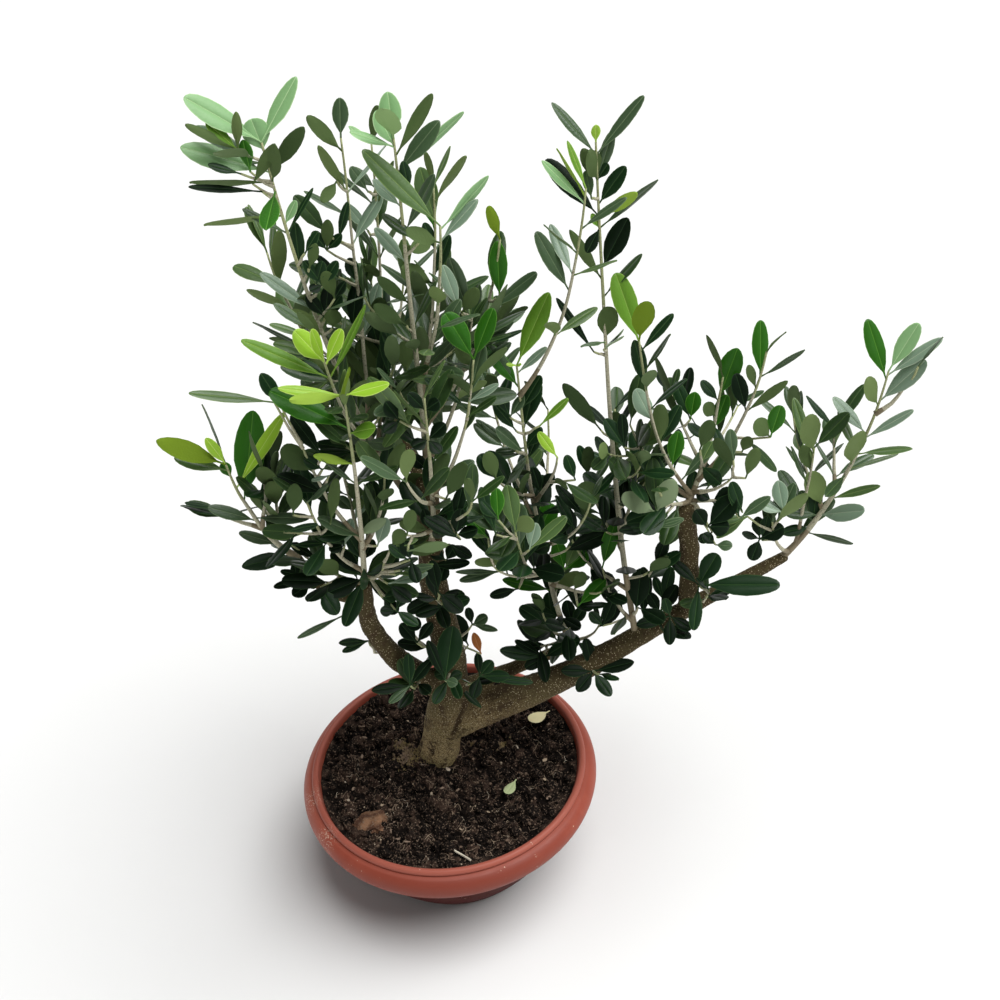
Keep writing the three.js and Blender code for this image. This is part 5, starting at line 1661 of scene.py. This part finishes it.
leafSkin = {
    "grain": {"patch": 0.015, "grain": 0.0016, "speck": 0.002}, "faceBump": 0.6, "bumpDepth": 0.0003,
    "back": (0.72, 0.5, 0.15), "rib": (0.5, 0.2, 0.15),  # roughness, strength of the bump, and gloss
    "smoother": 0.08, "rougher": 0.1, "sharp": 50,
}


def leafMaterials():
    made = []
    for tone, (face, back, rib, mirror, sheen) in leafTones.items():
        kinds = (("Face", face, (sheen, leafSkin["faceBump"], mirror)), ("Back", back, leafSkin["back"]),
                 ("RibAndEdgeHighlight", rib, leafSkin["rib"]))
        for kind, base, (rough, strength, gloss) in kinds:
            material, tree, shader, group = newMaterial(
                tone + "Leaf" + kind, base, rough, Specular_IOR_Level=gloss, **leafSkin["grain"])
            roughFrom(tree, shader, group.outputs["Patches"],
                      rough - leafSkin["smoother"], rough + leafSkin["rougher"])
            bumpFrom(tree, shader, group.outputs["Grain"], strength, leafSkin["bumpDepth"])
            made.append(material)
    return made


def makeLeaves():
    materials = leafMaterials()
    first = {tone: 3 * i for i, tone in enumerate(leafTones)}
    heaps = {}
    for leaf in leaves:
        name = leaf["mass"] if leaf["mass"] in massPlan else "tufts"
        heap = heaps.setdefault(name, newHeap())
        addTo(heap, leafCorners(leaf), leafFaces, leafKinds + first[leaf["tone"]])
    for name, heap in heaps.items():
        piece = pieceFrom("leaves_" + name.replace("foliage_", ""), heap, materials,
                          leafSkin["sharp"])
        settle(piece, "foliage", *([name] if name in massPlan else tuftPlan))
        print(piece.name, len(piece.data.polygons), "triangles")


makeLeaves()


# What lies on the soil

litter = {
    # fallen leaves: place, heading in degrees, length, width, colour
    "leaves": ((94, 37.5, 210, 27, 14, colour(236, 226, 176)),
               (53.4, -44.6, 236, 22, 10, colour(176, 188, 140))),
    "leafSlope": 0.12, "leafRests": (-9, 0, 9), "leafLift": 4.6,
    "leafShape": {"twist": 0.1, "curl": -0.05, "belly": 0.6, "blunt": 0.45},
    # roughness and strength of the bump
    "leafSkin": (0.7, 0.4), "stickSkin": (0.8, 0.5), "bumpDepth": 0.0004,
    "chip": (-77, -58), "chipSize": (15, 12, 7), "chipLift": 5.5, "chipRelief": ((1.9, 0.35), (6, 0.22)),
    "chipColour": colour(144, 108, 82), "chipShade": colour(84, 58, 44),
    "stick": ((-7, -101), (0, -107), (7, -116)), "stickRadius": 1.0, "stickLift": 3.4,
    "stickColour": colour(214, 204, 184), "stickSteps": 4, "stickSides": 6, "sharp": 40,
    "moss": ((-39, 14, 12), (-42, 32, 8), (51, 13.2, 6), (24, 22, 4)), "mossBits": 26, "mossSize": (0.5, 1.5),
    "mossStretch": (0.6, 1.3), "mossColour": colour(138, 122, 84), "seed": 29,
}


def litterMaterial(name, tone, roughness, strength):
    material, tree, shader, group = newMaterial(name, tone, roughness)
    bumpFrom(tree, shader, group.outputs["Grain"], strength, litter["bumpDepth"])
    return material


def makeLitter():
    draw = np.random.default_rng(litter["seed"])
    rng = random.Random(litter["seed"])
    heap, materials = newHeap(), []
    for x, y, turn, length, width, tone in litter["leaves"]:
        way = np.array([math.cos(math.radians(turn)), math.sin(math.radians(turn)), litter["leafSlope"]])
        ground = max(soilHeight(x + a, y + b) for a in litter["leafRests"] for b in litter["leafRests"])
        root = np.array([x, y, ground + litter["leafLift"]]) - way * length / 2
        leaf = newLeaf("soil", root, unit(way), upward, length, width, "lime", 0, rng)
        leaf.update(litter["leafShape"])
        addTo(heap, leafCorners(leaf), leafFaces, len(materials))
        materials.append(litterMaterial("fallenLeaf%d" % len(materials), tone, *litter["leafSkin"]))
    ball, faces = ballCorners(3)
    x, y = litter["chip"]
    rough = np.ones((len(ball), 1))
    for turns, depth in litter["chipRelief"]:
        rough += [[depth * noise.noise(Vector(p) * turns)] for p in ball]
    place = (x, y, soilHeight(x, y) + litter["chipLift"])
    addTo(heap, ball * rough * litter["chipSize"] + place, faces, len(materials))
    materials.append(peatMaterial("barkChip", litter["chipColour"], litter["chipShade"]))
    points = [(x, y, soilHeight(x, y) + litter["stickLift"]) for x, y in litter["stick"]]
    points = lineThrough(points, litter["stickSteps"])["points"]
    radii = np.full(len(points), litter["stickRadius"])
    addTo(heap, *tube(points, radii, litter["stickSides"]), len(materials))
    materials.append(litterMaterial("stick", litter["stickColour"], *litter["stickSkin"]))
    ball, faces = ballCorners(1)
    for x, y, spread in litter["moss"]:
        for _ in range(litter["mossBits"] * spread):
            a, b = x + draw.normal() * spread / 2, y + draw.normal() * spread / 2
            size = draw.uniform(*litter["mossSize"])
            bit = ball * size * draw.uniform(*litter["mossStretch"], 3)
            addTo(heap, bit + (a, b, soilHeight(a, b) + size), faces, len(materials))
    materials.append(peatMaterial("mossBit", litter["mossColour"], soil["brown"]))
    settle(pieceFrom("soil_litter", heap, materials, litter["sharp"]), "potting_soil")


makeLitter()
print("litter made")


# Floor, light and camera

stage = {
    "floor": 30, "pale": colour(226, 226, 225), "roughness": 0.9, "white": (1, 1, 1, 1),
    "wallTop": 0.24, "skyFrom": 0.36, "wallStrength": 0.62, "skyStrength": 0.14,
    "sunStrength": 4.2, "sunAngle": 55, "sunFrom": (0.42, -0.05, 1.0),
}
camera = {"place": leafRule["viewer"], "pan": 5.45, "tilt": 34.83, "roll": -4.68, "lens": 39.6,
          "sensor": 36, "sees": 100}


def makeStage():
    half = stage["floor"] / 2
    mesh = bpy.data.meshes.new("floor")
    corners = [(-half, -half, 0), (half, -half, 0), (half, half, 0), (-half, half, 0)]
    mesh.from_pydata(corners, [], [(0, 1, 2, 3)])
    floor = bpy.data.objects.new("floor", mesh)
    bpy.context.scene.collection.objects.link(floor)
    mesh.materials.append(newMaterial("paleFloor", stage["pale"], stage["roughness"])[0])
    world = bpy.data.worlds.new("studio")
    world.use_nodes = True
    tree = world.node_tree
    sky = tree.nodes["Background"]
    sky.inputs["Color"].default_value = stage["white"]
    # a pale studio wall up to a little above the horizon
    place, parts = addNode(tree, "ShaderNodeTexCoord"), addNode(tree, "ShaderNodeSeparateXYZ")
    tree.links.new(place.outputs["Generated"], parts.inputs["Vector"])
    fade = ramp(tree, parts.outputs["Z"], stage["wallTop"], stage["skyFrom"],
                (stage["wallStrength"], stage["skyStrength"]))
    tree.links.new(fade, sky.inputs["Strength"])
    bpy.context.scene.world = world
    lamp = bpy.data.lights.new("softbox", "SUN")
    lamp.energy, lamp.angle = stage["sunStrength"], math.radians(stage["sunAngle"])
    light = bpy.data.objects.new("softbox", lamp)
    light.rotation_euler = Vector(stage["sunFrom"]).to_track_quat("Z", "Y").to_euler()
    bpy.context.scene.collection.objects.link(light)


def makeCamera():
    pan, tilt, roll = (math.radians(camera[key]) for key in ("pan", "tilt", "roll"))
    forward = Vector((math.sin(pan) * math.cos(tilt), math.cos(pan) * math.cos(tilt), -math.sin(tilt)))
    level = Vector((math.cos(pan), -math.sin(pan), 0))
    rise = level.cross(forward)
    right = math.cos(roll) * level + math.sin(roll) * rise
    up = -math.sin(roll) * level + math.cos(roll) * rise
    data = bpy.data.cameras.new("camera")
    data.lens, data.sensor_width, data.clip_end = camera["lens"], camera["sensor"], camera["sees"]
    eye = bpy.data.objects.new("camera", data)
    turn = Matrix((right, up, -forward)).transposed().to_4x4()
    eye.matrix_world = Matrix.Translation(Vector(camera["place"]) * mm) @ turn
    bpy.context.scene.collection.objects.link(eye)
    bpy.context.scene.camera = eye


makeStage()
makeCamera()
bpy.context.scene.view_settings.view_transform = "Standard"
print("stage ready")
